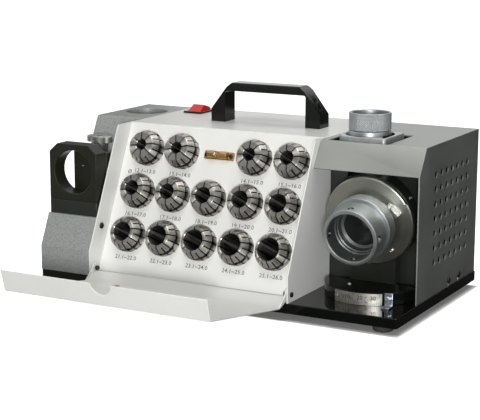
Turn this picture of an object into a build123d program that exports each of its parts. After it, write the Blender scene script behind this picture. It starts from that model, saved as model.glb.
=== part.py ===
from build123d import *
import math
import os

os.makedirs("parts", exist_ok=True)

# Drill bit grinder with a collet rack, in mm, +Z up, the front towards -Y.
# X is centred on the base plate, Z starts under the feet, and Y is centred on the whole depth, lid included.

# Sheet metal, fits and edges
sheet = 1.5
run_clear = 0.05
hole_clear = 0.2
part_gap = 0.3
edge_break = 0.8

# Base plate and feet
base_width = 444.0
base_depth = 238.0
base_thick = 11.0
base_corner = 3.0
foot_height = 8.0
foot_radius = 10.5
foot_draft = 8.0
foot_inset_x = 22.0
foot_inset_y = 18.0
foot_seat = 3.8
foot_screw_radius = 2.5
foot_head_radius = 4.5
foot_head_height = 3.0
foot_screw_length = 12.0

# White rack: two side walls, a top sheet and a slanted panel between them
left_share = 0.151
station_share = 0.2793
left_width = base_width * left_share
station_width = base_width * station_share
body_height = 165.5
kink_height = 28.5
slant = 24.7
panel_recess = 26.2
panel_thick = 2.0
wall_round = 5.0
right_wall_depth = 103.0
right_wall_chamfer = 5.0

# Spring collets in the panel
collet_share = 0.1842
collet_pitch_x = (base_width - left_width - station_width) * collet_share
collet_pitch_v = 51.3
collet_low_v = 48.0
collet_radius = 20.5
collet_proud = 6.0
collet_tail = 27.0
collet_taper = 8.0
collet_groove_radius = 17.4
collet_groove_width = 3.5
collet_land_radius = 20.0
collet_land_width = 2.0
collet_nose_angle = 30.0
collet_nose_width = 9.0
collet_slot = 1.2
collet_slot_count = 8
collet_slot_depth = 12.5

# Lid
lid_gap = 1.5
lid_side_gap = 1.5
lid_above_kink = 2.0
lid_length = 147.0
lid_flap = 23.6
lid_skirt = 22.0
lid_skirt_lean = 4.0
lid_swing = 105.9
lid_notch_radius = 12.0
pivot_depth = 7.1
pivot_height = 8.3
pivot_radius = 1.8
pivot_reach = 8.5
pivot_head_radius = 2.8
pivot_head_height = 1.8
pivot_nut_height = 3.0
ear_radius = 6.5

# Ball catch on the panel and strike on the lid
catch_length = 38.0
catch_width = 9.5
catch_plate = 2.2
catch_barrel_radius = 4.0
catch_barrel_length = 8.5
catch_mouth = 8.0
catch_ball_radius = 2.6
catch_ball_gap = 4.6
catch_corner = 1.6
strike_height = 18.0
strike_thick = 3.6
strike_width = 9.0
strike_foot = 17.0
strike_foot_thick = 1.6

# Handle
handle_offset = 22.5
handle_length = 141.0
handle_depth = 23.5
handle_from_back = 94.0
handle_front = base_depth - handle_from_back
handle_height = 46.5
handle_opening = 36.8
handle_leg = 18.5
handle_taper_start = 15.0
handle_taper_end = 41.0
handle_taper_in = 20.0
handle_crown_in = 7.0
handle_round = 2.5
handle_pocket_radius = 4.8
handle_pocket_floor = 6.0
handle_screw_radius = 2.5
handle_head_radius = 4.25
handle_head_height = 5.0
handle_screw_below = 12.0
handle_nut_radius = 4.5
handle_nut_height = 4.0

# Rocker switch
switch_inset = 27.0
switch_from_back = 33.5
switch_mid = base_depth - switch_from_back
bezel_width = 26.0
bezel_depth = 37.0
bezel_height = 2.6
bezel_round = 3.0
switch_body_height = 20.0
switch_body_margin = 2.0
rocker_width = 17.5
rocker_depth = 27.0
rocker_gap = 0.5
rocker_end_gap = 1.6
rocker_ridge = 9.6
rocker_end = 3.6
rocker_below = 5.0
rocker_axle = 1.5
rocker_tilt = 9.0
rocker_room = 4.5

# Left housing with the chuck rest
left_inset = 0.5
shelf_height = 64.0
shelf_depth = 108.0
block_kink = 140.0
block_top_depth = 121.0
housing_wall = 4.0
housing_round = 2.0
rest_radius = 25.7
rest_from_back = 58.5
rest_depth = base_depth - rest_from_back
rest_deep = 60.0
rest_wall = 4.0

# Setting gauge
gauge_offset = -0.5
gauge_margin = 1.25
gauge_width = left_width - 2 * gauge_margin
gauge_base_front = 19.5
gauge_base_back = 98.0
gauge_base_height = 16.0
bracket_front = 20.0
bracket_thick = 20.0
bracket_height = 65.5
bracket_chamfer_x = 11.0
bracket_chamfer_z = 9.5
bracket_hole_radius = 25.2
bracket_hole_height = 33.3
gauge_body_width = 45.0
gauge_body_depth = 56.0
gauge_body_height = 45.0
gauge_stop_height = 55.0
gauge_stop_depth = 12.0
gauge_pin_radius = 1.2
gauge_pin_lift = 4.5
gauge_pin_length = 14.0
gauge_pin_proud = 0.8
gauge_body_gap = 1.0
knob_depth = 76.0
knob_reach = 16.5
knob_ear_width = 13.0
knob_top_radius = 11.0
knob_height = 23.5
knob_ear_height = 7.5
knob_neck_radius = 8.5
knob_hole_radius = 3.6
knob_stud_radius = 3.5
knob_stud_height = 9.0
knob_round = 2.0

# Right cover and its fixings
cover_inset = 1.8
cover_front = 58.8
cover_kink = 136.9
cover_top_front = 76.5
cover_from_back = 0.5
cover_back = base_depth - cover_from_back
cutout_left = 7.6
cutout_width = 69.9
cutout_front = 79.0
cutout_depth = 72.9
vent_count = 7
vent_pitch = 16.1
vent_first_depth = 106.5
vent_first_height = 36.6
vent_radius = 4.0
clip_from_back = 96.0
clip_front = base_depth - clip_from_back
clip_length = 51.0
clip_height = 13.0
clip_thick = 2.0
clip_foot = 14.0
cover_screw_inset = 10.8
cover_screw_first = clip_front + cover_screw_inset
cover_screw_pitch = 31.2
cover_screw_height = 7.0
cover_screw_radius = 2.5
cover_head_radius = 4.0
cover_head_height = 1.7
cover_slot_width = 5.6

# Wheel guard, top port
guard_thick = 3.0
guard_height = 158.0
guard_flange = 50.0
guard_window_share = 0.4355
guard_window_height = 90.0
guard_window_radius = 32.0
port_share = 0.3427
port_depth = 111.0
port_bore_radius = 20.3
collar_radius = 23.25
collar_top = 193.0
collar_bottom = 175.0
collar_groove_radius = 22.4
collar_groove_width = 1.2
collar_groove_below = 3.0
collar_stem_radius = 21.9
collar_stem_length = 16.0
collar_chamfer = 1.2
ring_radius = 23.4
ring_height = 4.5
boss_width = 60.0
boss_depth = 55.0
boss_round = 4.0
boss_left_round = 18.0
boss_bore_radius = 26.5
boss_bore_depth = 4.0

# Motor and wheel
motor_offset = -2.5
motor_height = 88.0
motor_front = 126.0
motor_end_room = 34.0
motor_length = base_depth - motor_front - motor_end_room
motor_radius = 36.0
motor_band = 9.0
motor_band_radius = 37.5
shaft_radius = 6.0
shaft_front = 105.6
shaft_end_room = 21.0
shaft_back = base_depth - shaft_end_room
shaft_room = 1.0
bearing_radius = 16.0
bearing_width = 9.0
wheel_radius = 39.0
wheel_front = 106.6
wheel_width = 13.0
wheel_face_radius = 16.0
wheel_rim_width = 6.0
wheel_recess_depth = 7.0
wheel_nut_radius = 11.0
wheel_nut_width = 6.0
fan_gap = 3.0
fan_front = motor_front + motor_length + fan_gap
fan_width = 6.0
fan_radius = 32.0
fan_hub_radius = 11.0
fan_blades = 7
fan_blade_thick = 2.0
cradle_width = 62.0
cradle_margin = 14.0
cradle_length = motor_length - 2 * cradle_margin
cradle_front = motor_front + cradle_margin
cradle_wrap = 20.0

# Swivel drum, scale and front port
swivel_depth = 86.0
drum_clear = 8.0
drum_radius = station_width / 2 - drum_clear
drum_height = 13.2
drum_back = 2.0
drum_hub_radius = 12.0
scale_thick = 1.0
scale_height = 12.7
scale_left = 26.0
scale_right = 32.0
swivel_pin_radius = 6.0
swivel_pin_height = 12.6
tab_offset = 37.0
tab_width = 9.0
tab_gap = 1.5
tab_height = 15.0
tab_foot = 12.0
tab_thick = 2.0
port_tilt = 10.7
disc_depth = 65.8
disc_height = 83.1
disc_rim = 1.0
disc_thick = 5.0
disc_step = 3.0
disc_step_v = 19.0
head_step = 3.0
head_radius = drum_radius - head_step
disc_radius = head_radius - disc_rim
head_back = 20.0
head_bore_radius = 25.0
pedestal_width = 52.0
pedestal_front = 82.0
pedestal_thick = 12.0
pedestal_height = 46.0
key_width = 4.0
key_length = 12.0
key_proud = 3.0
key_v = 11.5
key_pitch = 6.0
socket_reach = 48.2
socket_radius = 30.7
socket_bore_radius = 26.5
socket_bore_depth = 20.0
socket_groove_width = 3.0
socket_groove_radius = 25.0
socket_mid_radius = 23.5
socket_mid_depth = 8.0
socket_end_radius = 20.2
socket_collar_front = 21.5
socket_collar_back = 7.0
socket_collar_radius = 34.0
socket_neck_radius = 29.0
socket_hole_radius = 3.0
socket_hole_back = 7.0
socket_hole_count = 4
socket_line_depth = 0.8
socket_line_width = 1.0

# Back panel and cable gland
back_inset = 15.0
gland_inset = 26.0
gland_height = 60.0
gland_nut_radius = 11.0
gland_nut_height = 4.0
gland_body_radius = 8.0
gland_body_length = 9.0
gland_bore_radius = 4.0

# Places that follow from the sizes above
slant_sin = math.sin(math.radians(slant))
slant_cos = math.cos(math.radians(slant))
slant_tan = math.tan(math.radians(slant))
base_top = foot_height + base_thick
top_z = base_top + body_height
left_x = -base_width / 2
right_x = base_width / 2
wall_left = left_x + left_width
wall_right = right_x - station_width
rack_left = wall_left + sheet
rack_right = wall_right - sheet
rack_mid = (wall_left + wall_right) / 2
cover_right = right_x - cover_inset
handle_x = rack_mid + handle_offset
switch_x = wall_left + switch_inset
gauge_x = left_x + left_width / 2 + gauge_offset
swivel_x = wall_right + station_width / 2
guard_window_x = wall_right + station_width * guard_window_share
port_x = wall_right + station_width * port_share
motor_x = port_x + motor_offset
tab_x = swivel_x + tab_offset
gland_x = right_x - gland_inset


def lid_open(point):
    """Turn a point of the closed lid about its pivot to where the open lid holds it."""
    turn = math.radians(lid_swing)
    along = point[0] - pivot_depth
    above = point[1] - pivot_height
    return (
        pivot_depth + along * math.cos(turn) - above * math.sin(turn),
        pivot_height + along * math.sin(turn) + above * math.cos(turn),
    )


def bent_strip(points, thick):
    """Outline of a bent sheet: points on one face, then the mitred points to the right of them."""
    far = []
    for index, point in enumerate(points):
        before = points[max(index - 1, 0)]
        after = points[min(index + 1, len(points) - 1)]
        arrive = math.atan2(point[1] - before[1], point[0] - before[0])
        leave = math.atan2(after[1] - point[1], after[0] - point[0])
        if index == 0:
            arrive = leave
        if index == len(points) - 1:
            leave = arrive
        half = math.remainder(leave - arrive, 2 * math.pi) / 2
        middle = arrive + half - math.pi / 2
        reach = thick / math.cos(half)
        far.append((point[0] + reach * math.cos(middle), point[1] + reach * math.sin(middle)))
    return list(points) + far[::-1]


# The lid's inner face, closed: from the skirt's edge over the two folds to the flap's edge
lid_fold = (lid_above_kink * slant_tan + lid_gap / slant_cos, kink_height + lid_above_kink)
lean = math.radians(lid_skirt_lean)
lid_skirt_edge = (lid_fold[0] + lid_skirt * math.sin(lean), lid_fold[1] - lid_skirt * math.cos(lean))
lid_flap_fold = (lid_fold[0] + lid_length * slant_sin, lid_fold[1] + lid_length * slant_cos)
lid_flap_edge = (lid_flap_fold[0] + lid_flap, lid_flap_fold[1])
lid_inner = [lid_open(p) for p in (lid_flap_edge, lid_flap_fold, lid_fold, lid_skirt_edge)]
lid_profile = bent_strip(lid_inner, sheet)
lid_reach = -min(p[0] for p in lid_profile)
base_front = (lid_reach - base_depth) / 2
base_mid = base_front + base_depth / 2


def at(depth):
    """Y of a place this far behind the base plate's front edge."""
    return base_front + depth


def up(height):
    """Z of a place this far above the base plate's top."""
    return base_top + height


def edge_depth(height):
    """Depth of the walls' slanted front edge at a height above the base plate."""
    return (height - kink_height) * slant_tan


def panel_depth(height):
    """Depth of the collet panel's front face at a height above the base plate."""
    return edge_depth(height) + panel_recess / slant_cos


def side_points(points):
    """Points given as depth and height, moved to Y and Z for a sketch on a plane of constant X."""
    return [(at(depth), up(height)) for depth, height in points]


def side_plane(x):
    """Plane across the machine at X, its first axis to the back and its second up."""
    return Plane(origin=(x, 0, 0), x_dir=(0, 1, 0), z_dir=(1, 0, 0))


def front_plane(x, depth, height):
    """Upright plane seen from the front, its first axis to the right and its second up."""
    return Plane(origin=(x, at(depth), up(height)), x_dir=(1, 0, 0), z_dir=(0, -1, 0))


def level_plane(height):
    """Level plane at a height above the base plate, its origin on the base's front edge."""
    return Plane(origin=(0, base_front, up(height)))


def save(piece, name):
    """Name a piece and write its file."""
    piece.part.label = name
    export_step(piece.part, f"parts/{name}.step")


# Base plate: a thick black plate with blind holes for the feet's screws
foot_pitch_x = base_width - 2 * foot_inset_x
foot_pitch_y = base_depth - 2 * foot_inset_y
foot_hole_depth = foot_seat + foot_screw_length - foot_height + edge_break
with BuildPart() as base_plate:
    with BuildSketch(Plane((0, base_mid, foot_height))):
        RectangleRounded(base_width, base_depth, base_corner)
    extrude(amount=base_thick)
    chamfer(base_plate.faces().sort_by(Axis.Z)[-1].edges(), edge_break)
    with BuildSketch(Plane((0, base_mid, foot_height))):
        with GridLocations(foot_pitch_x, foot_pitch_y, 2, 2):
            Circle(foot_screw_radius + run_clear)
    extrude(amount=foot_hole_depth, mode=Mode.SUBTRACT)
save(base_plate, "base_plate")

# Feet: four drafted rubber feet, each with a sunk seat for its screw
with BuildPart() as rubber_feet:
    with BuildSketch(Plane((0, base_mid, 0))):
        with GridLocations(foot_pitch_x, foot_pitch_y, 2, 2):
            Circle(foot_radius)
    extrude(amount=foot_height, taper=-foot_draft)
    with BuildSketch(Plane((0, base_mid, 0))):
        with GridLocations(foot_pitch_x, foot_pitch_y, 2, 2):
            Circle(foot_head_radius + hole_clear)
    extrude(amount=foot_seat, mode=Mode.SUBTRACT)
    with BuildSketch(Plane((0, base_mid, 0))):
        with GridLocations(foot_pitch_x, foot_pitch_y, 2, 2):
            Circle(foot_screw_radius + run_clear)
    extrude(amount=foot_height, mode=Mode.SUBTRACT)
save(rubber_feet, "rubber_feet")

# Foot screws: round heads up in the feet, shanks in the base plate
with BuildPart() as foot_screws:
    with BuildSketch(Plane((0, base_mid, foot_seat - foot_head_height))):
        with GridLocations(foot_pitch_x, foot_pitch_y, 2, 2):
            Circle(foot_head_radius)
    extrude(amount=foot_head_height)
    with BuildSketch(Plane((0, base_mid, foot_seat))):
        with GridLocations(foot_pitch_x, foot_pitch_y, 2, 2):
            Circle(foot_screw_radius)
    extrude(amount=foot_screw_length)
save(foot_screws, "foot_screws")

# Rack: two white walls with a kinked front edge, joined by the top sheet
left_outline = [
    (0, 0),
    (0, kink_height),
    (edge_depth(body_height), body_height),
    (base_depth, body_height),
    (base_depth, 0),
]
right_outline = [
    (0, 0),
    (0, kink_height),
    (edge_depth(body_height), body_height),
    (right_wall_depth, body_height),
    (right_wall_depth, right_wall_chamfer),
    (right_wall_depth - right_wall_chamfer, 0),
]
switch_hole_width = rocker_width + 2 * rocker_gap + 2 * switch_body_margin
switch_hole_depth = rocker_depth + 2 * rocker_end_gap + 2 * switch_body_margin
handle_screw_u = handle_length / 2 - handle_leg / 2
with BuildPart() as rack_shell:
    for wall_x, outline in ((wall_left, left_outline), (rack_right, right_outline)):
        with BuildSketch(side_plane(wall_x)):
            with BuildLine():
                Polyline(*side_points(outline), close=True)
            make_face()
            top_front = vertices().group_by(Axis.Y)[-1].sort_by(Axis.X)[0]
            fillet(top_front, wall_round)
            with Locations((at(pivot_depth), up(pivot_height))):
                Circle(pivot_radius + run_clear, mode=Mode.SUBTRACT)
        extrude(amount=sheet)
    with BuildSketch(level_plane(body_height)):
        with BuildLine():
            Polyline(
                (wall_left, panel_depth(body_height)),
                (wall_right, panel_depth(body_height)),
                (wall_right, base_depth),
                (wall_left, base_depth),
                close=True,
            )
        make_face()
        with Locations((switch_x, switch_mid)):
            Rectangle(switch_hole_width, switch_hole_depth, mode=Mode.SUBTRACT)
        with Locations((handle_x, handle_front + handle_depth / 2)):
            with GridLocations(2 * handle_screw_u, 1, 2, 1):
                Circle(handle_screw_radius + run_clear, mode=Mode.SUBTRACT)
    extrude(amount=-sheet)
save(rack_shell, "rack_shell")

# Collet panel: a slanted white sheet with a hole under each collet
panel_foot = (panel_depth(0), 0)
panel_head = (panel_depth(body_height - sheet), body_height - sheet)
panel_run = panel_thick / slant_cos
panel_plane = Plane(
    origin=(rack_mid, at(panel_depth(0)), base_top),
    x_dir=(1, 0, 0),
    z_dir=(0, -slant_cos, slant_sin),
)
collet_top_v = collet_low_v + 2 * collet_pitch_v
collet_places = []
for row in (2, 1, 0):
    for column in (-2, -1, 0, 1, 2):
        if row == 2 and column == 0:
            continue
        collet_places.append((column * collet_pitch_x, collet_low_v + row * collet_pitch_v))
seat_radius = collet_radius - collet_proud * math.tan(math.radians(collet_taper))
with BuildPart() as collet_panel:
    with BuildSketch(side_plane(rack_left)):
        with BuildLine():
            Polyline(
                *side_points(
                    [
                        panel_foot,
                        panel_head,
                        (panel_head[0] + panel_run, panel_head[1]),
                        (panel_foot[0] + panel_run, panel_foot[1]),
                    ]
                ),
                close=True,
            )
        make_face()
    extrude(amount=rack_right - rack_left)
    with BuildSketch(panel_plane):
        with Locations(*collet_places):
            Circle(seat_radius + run_clear)
    extrude(amount=-panel_thick, mode=Mode.SUBTRACT)
save(collet_panel, "collet_panel")


def make_collet(bore, place):
    """Spring collet: 8-degree body, groove, 30-degree nose, and slots cut from the front."""
    centre = panel_plane.from_local_coords(Vector(place[0], place[1], 0))
    axis_dir = panel_plane.z_dir
    section = Plane(origin=centre, x_dir=(1, 0, 0), z_dir=(0, -slant_sin, -slant_cos))
    tail_radius = collet_radius - (collet_proud + collet_tail) * math.tan(math.radians(collet_taper))
    groove_end = collet_proud + collet_groove_width
    land_end = groove_end + collet_land_width
    nose_end = land_end + collet_nose_width
    nose_radius = collet_land_radius - collet_nose_width * math.tan(math.radians(collet_nose_angle))
    with BuildPart() as collet:
        with BuildSketch(section):
            with BuildLine():
                Polyline(
                    (bore / 2, -collet_tail),
                    (tail_radius, -collet_tail),
                    (collet_radius, collet_proud),
                    (collet_groove_radius, collet_proud),
                    (collet_groove_radius, groove_end),
                    (collet_land_radius, groove_end),
                    (collet_land_radius, land_end),
                    (nose_radius, nose_end),
                    (bore / 2, nose_end),
                    close=True,
                )
            make_face()
        revolve(axis=Axis(centre, axis_dir))
        front = Plane(origin=centre + axis_dir * nose_end, x_dir=(1, 0, 0), z_dir=axis_dir)
        with BuildSketch(front):
            with PolarLocations(0, collet_slot_count):
                Rectangle(collet_radius, collet_slot, align=(Align.MIN, Align.CENTER))
        extrude(amount=-collet_slot_depth, mode=Mode.SUBTRACT)
    return collet


# Collets: bores from 13 to 26 mm, in order from the upper left
first_bore = 13
for index, place in enumerate(collet_places):
    save(make_collet(first_bore + index, place), f"collet_{first_bore + index}")

# Ball catch: a brass plate with two barrels that face each other across the strike's gap
catch_plane = Plane(
    origin=panel_plane.from_local_coords(Vector(0, collet_top_v, 0)),
    x_dir=(1, 0, 0),
    z_dir=panel_plane.z_dir,
)
barrel_height = catch_plate + catch_barrel_radius - edge_break
barrel_far = catch_mouth / 2 + catch_barrel_length
with BuildPart() as ball_catch:
    with BuildSketch(catch_plane):
        RectangleRounded(catch_length, catch_width, catch_corner)
    extrude(amount=catch_plate)
    for start in (catch_mouth / 2, -barrel_far):
        barrel_plane = Plane(
            origin=catch_plane.from_local_coords(Vector(start, 0, barrel_height)),
            x_dir=panel_plane.y_dir,
            z_dir=(1, 0, 0),
        )
        with BuildSketch(barrel_plane):
            Circle(catch_barrel_radius)
        extrude(amount=catch_barrel_length)
    pocket_plane = Plane(
        origin=catch_plane.from_local_coords(Vector(-barrel_far + edge_break, 0, barrel_height)),
        x_dir=panel_plane.y_dir,
        z_dir=(1, 0, 0),
    )
    with BuildSketch(pocket_plane):
        Circle(catch_ball_radius + run_clear)
    extrude(amount=2 * (barrel_far - edge_break), mode=Mode.SUBTRACT)
save(ball_catch, "ball_catch")

# Catch balls: steel balls on spring-filled stems inside the barrels
with BuildPart() as catch_balls:
    for side in (-1, 1):
        ball_u = side * (catch_ball_gap / 2 + catch_ball_radius)
        ball_centre = catch_plane.from_local_coords(Vector(ball_u, 0, barrel_height))
        with Locations(ball_centre):
            Sphere(catch_ball_radius)
        stem_plane = Plane(origin=ball_centre, x_dir=panel_plane.y_dir, z_dir=(side, 0, 0))
        with BuildSketch(stem_plane):
            Circle(catch_ball_radius)
        extrude(amount=barrel_far - edge_break - abs(ball_u))
save(catch_balls, "catch_balls")

# Handle: a bridge of black plastic with tapered legs and a screw pocket in each leg
handle_plane = front_plane(handle_x, handle_front, body_height)
half_handle = handle_length / 2
handle_right = [
    (half_handle, 0),
    (half_handle, handle_taper_start),
    (half_handle - handle_taper_in, handle_taper_end),
    (half_handle - handle_taper_in - handle_crown_in, handle_height),
]
with BuildPart() as carry_handle:
    with BuildSketch(handle_plane):
        with BuildLine():
            Polyline(*handle_right, *[(-u, v) for u, v in handle_right[::-1]], close=True)
        make_face()
        with BuildSketch(mode=Mode.PRIVATE) as gap:
            Rectangle(handle_length - 2 * handle_leg, 2 * handle_opening)
            fillet(gap.vertices(), handle_round)
        add(gap.sketch, mode=Mode.SUBTRACT)
    extrude(amount=-handle_depth)
    outer = carry_handle.edges().filter_by(Axis.X).group_by(Axis.Z)[-1]
    fillet(outer, handle_round)
    with BuildSketch(level_plane(body_height + handle_pocket_floor)):
        with Locations((handle_x, handle_front + handle_depth / 2)):
            with GridLocations(2 * handle_screw_u, 1, 2, 1):
                Circle(handle_pocket_radius)
    extrude(amount=handle_height, mode=Mode.SUBTRACT)
    with BuildSketch(level_plane(body_height)):
        with Locations((handle_x, handle_front + handle_depth / 2)):
            with GridLocations(2 * handle_screw_u, 1, 2, 1):
                Circle(handle_screw_radius + run_clear)
    extrude(amount=handle_pocket_floor, mode=Mode.SUBTRACT)
save(carry_handle, "carry_handle")

# Handle screws: cap heads in the pockets, nuts under the top sheet
with BuildPart() as handle_screws:
    with BuildSketch(level_plane(body_height + handle_pocket_floor)):
        with Locations((handle_x, handle_front + handle_depth / 2)):
            with GridLocations(2 * handle_screw_u, 1, 2, 1):
                Circle(handle_head_radius)
    extrude(amount=handle_head_height)
    with BuildSketch(level_plane(body_height - handle_screw_below)):
        with Locations((handle_x, handle_front + handle_depth / 2)):
            with GridLocations(2 * handle_screw_u, 1, 2, 1):
                Circle(handle_screw_radius)
    extrude(amount=handle_screw_below + handle_pocket_floor)
    with BuildSketch(level_plane(body_height - sheet)):
        with Locations((handle_x, handle_front + handle_depth / 2)):
            with GridLocations(2 * handle_screw_u, 1, 2, 1):
                RegularPolygon(handle_nut_radius, 6)
    extrude(amount=-handle_nut_height)
save(handle_screws, "handle_screws")

# Switch bezel: a rounded frame on the top sheet with the switch's box below it
bezel_plane = Plane((switch_x, at(switch_mid), top_z))
rocker_bay_width = rocker_width + 2 * rocker_gap
rocker_bay_depth = rocker_depth + 2 * rocker_end_gap
with BuildPart() as switch_bezel:
    with BuildSketch(bezel_plane):
        RectangleRounded(bezel_width, bezel_depth, bezel_round)
    extrude(amount=bezel_height)
    chamfer(switch_bezel.faces().sort_by(Axis.Z)[-1].edges(), edge_break)
    with BuildSketch(bezel_plane):
        Rectangle(switch_hole_width - 2 * hole_clear, switch_hole_depth - 2 * hole_clear)
    extrude(amount=-switch_body_height)
    with BuildSketch(bezel_plane.offset(bezel_height)):
        Rectangle(rocker_bay_width, rocker_bay_depth)
    extrude(amount=-(bezel_height + rocker_below + rocker_room), mode=Mode.SUBTRACT)
save(switch_bezel, "switch_bezel")

# Rocker: a red roof-shaped key, tipped to the off side
rocker_plane = Plane(
    origin=(switch_x - rocker_width / 2, at(switch_mid), top_z - rocker_axle),
    x_dir=(0, math.cos(math.radians(rocker_tilt)), math.sin(math.radians(rocker_tilt))),
    z_dir=(1, 0, 0),
)
with BuildPart() as switch_rocker:
    with BuildSketch(rocker_plane):
        with BuildLine():
            Polyline(
                (-rocker_depth / 2, rocker_axle - edge_break),
                (-rocker_depth / 2, rocker_end + rocker_axle),
                (0, rocker_ridge + rocker_axle),
                (rocker_depth / 2, rocker_end + rocker_axle),
                (rocker_depth / 2, rocker_axle - edge_break),
                (0, -rocker_below),
                close=True,
            )
        make_face()
    extrude(amount=rocker_width)
    fillet(switch_rocker.edges().filter_by(Axis.X).group_by(Axis.Z)[-1], edge_break)
save(switch_rocker, "switch_rocker")

# Left housing: a stepped grey casting, hollow below, with a round chuck rest in its rear top
left_points = [
    (0, 0),
    (0, kink_height),
    (edge_depth(shelf_height), shelf_height),
    (shelf_depth, shelf_height),
    (shelf_depth, block_kink),
    (block_top_depth, body_height),
    (base_depth, body_height),
    (base_depth, 0),
]
left_hollow = [
    (housing_wall, 0),
    (housing_wall, kink_height),
    (edge_depth(shelf_height) + housing_wall, shelf_height - housing_wall),
    (shelf_depth + housing_wall, shelf_height - housing_wall),
    (shelf_depth + housing_wall, block_kink),
    (block_top_depth + housing_wall, body_height - housing_wall),
    (base_depth - housing_wall, body_height - housing_wall),
    (base_depth - housing_wall, 0),
]
housing_left = left_x + left_inset
rest_x = (housing_left + wall_left) / 2
with BuildPart() as left_housing:
    with BuildSketch(side_plane(housing_left)):
        with BuildLine():
            Polyline(*side_points(left_points), close=True)
        make_face()
        above_base = vertices().filter_by_position(Axis.Y, up(kink_height / 2), up(body_height * 2))
        fillet(above_base, housing_round)
    extrude(amount=wall_left - housing_left)
    with BuildSketch(side_plane(housing_left + housing_wall)):
        with BuildLine():
            Polyline(*side_points(left_hollow), close=True)
        make_face()
    extrude(amount=wall_left - housing_left - 2 * housing_wall, mode=Mode.SUBTRACT)
    rest_plane = Plane((rest_x, at(rest_depth), top_z))
    with BuildSketch(rest_plane.offset(-housing_wall)):
        Circle(rest_radius + rest_wall)
    extrude(amount=-rest_deep)
    with Locations(rest_plane):
        Hole(rest_radius, rest_deep)
save(left_housing, "left_housing")

# Gauge base: a black block on the left housing's shelf
with BuildPart() as gauge_base:
    with BuildSketch(front_plane(gauge_x, gauge_base_front, shelf_height)):
        Rectangle(gauge_width, gauge_base_height, align=(Align.CENTER, Align.MIN))
    extrude(amount=-(gauge_base_back - gauge_base_front))
    chamfer(gauge_base.edges().filter_by(Axis.Z), edge_break)
save(gauge_base, "gauge_base")

# Gauge bracket: a thick plate with clipped upper corners and the big setting hole
bracket_foot = shelf_height + gauge_base_height
bracket_plane = front_plane(gauge_x, bracket_front, bracket_foot)
half_bracket = gauge_width / 2
with BuildPart() as gauge_bracket:
    with BuildSketch(bracket_plane):
        with BuildLine():
            Polyline(
                (-half_bracket, 0),
                (-half_bracket, bracket_height - bracket_chamfer_z),
                (-half_bracket + bracket_chamfer_x, bracket_height),
                (half_bracket - bracket_chamfer_x, bracket_height),
                (half_bracket, bracket_height - bracket_chamfer_z),
                (half_bracket, 0),
                close=True,
            )
        make_face()
        with Locations((0, bracket_hole_height)):
            Circle(bracket_hole_radius, mode=Mode.SUBTRACT)
    extrude(amount=-bracket_thick)
    chamfer(gauge_bracket.faces().sort_by(Axis.Y)[0].edges().filter_by(GeomType.CIRCLE), edge_break)
save(gauge_bracket, "gauge_bracket")

# Gauge body: the stepped block behind the bracket that holds the stop pin and the knob's stud
body_front = bracket_front + bracket_thick + gauge_body_gap
body_right = gauge_x + half_bracket
gauge_body_x = body_right - gauge_body_width / 2
pin_height = bracket_hole_height + gauge_pin_lift
with BuildPart() as gauge_body:
    with BuildSketch(front_plane(gauge_body_x, body_front, bracket_foot)):
        Rectangle(gauge_body_width, gauge_body_height, align=(Align.CENTER, Align.MIN))
    extrude(amount=-gauge_body_depth)
    with BuildSketch(front_plane(gauge_body_x, body_front, bracket_foot)):
        Rectangle(gauge_body_width, gauge_stop_height, align=(Align.CENTER, Align.MIN))
    extrude(amount=-gauge_stop_depth)
    with Locations(front_plane(gauge_x, body_front, bracket_foot + pin_height)):
        Hole(gauge_pin_radius + run_clear, gauge_pin_length)
    with BuildSketch(level_plane(bracket_foot + gauge_body_height)):
        with Locations((gauge_x, knob_depth)):
            Circle(knob_stud_radius)
    extrude(amount=knob_stud_height)
save(gauge_body, "gauge_body")

# Gauge pin: the bright stop that a drill's point is set against
with BuildPart() as gauge_pin:
    with BuildSketch(front_plane(gauge_x, body_front - gauge_pin_proud, bracket_foot + pin_height)):
        Circle(gauge_pin_radius)
    extrude(amount=-(gauge_pin_proud + gauge_pin_length - edge_break))
    chamfer(gauge_pin.faces().sort_by(Axis.Y)[0].edges(), gauge_pin_proud / 2)
save(gauge_pin, "gauge_pin")

# Gauge knob: a cast lever knob, a conical hub with an ear on each side and a hole in its top
knob_bottom = bracket_foot + gauge_body_height + part_gap
with BuildPart() as gauge_knob:
    with BuildSketch(Plane((gauge_x, at(knob_depth), up(knob_bottom + knob_height)))):
        SlotOverall(2 * knob_reach, knob_ear_width)
    extrude(amount=-knob_ear_height)
    fillet(gauge_knob.faces().sort_by(Axis.Z)[-1].edges(), knob_round)
    with BuildSketch(front_plane(gauge_x, knob_depth, knob_bottom)):
        with BuildLine():
            Polyline(
                (0, 0),
                (knob_neck_radius, 0),
                (knob_top_radius, knob_height - edge_break),
                (knob_top_radius - edge_break, knob_height),
                (0, knob_height),
                close=True,
            )
        make_face()
    revolve(axis=Axis((gauge_x, at(knob_depth), 0), (0, 0, 1)))
    with Locations(Plane((gauge_x, at(knob_depth), up(knob_bottom + knob_height)))):
        Hole(knob_hole_radius, knob_height)
save(gauge_knob, "gauge_knob")

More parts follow.
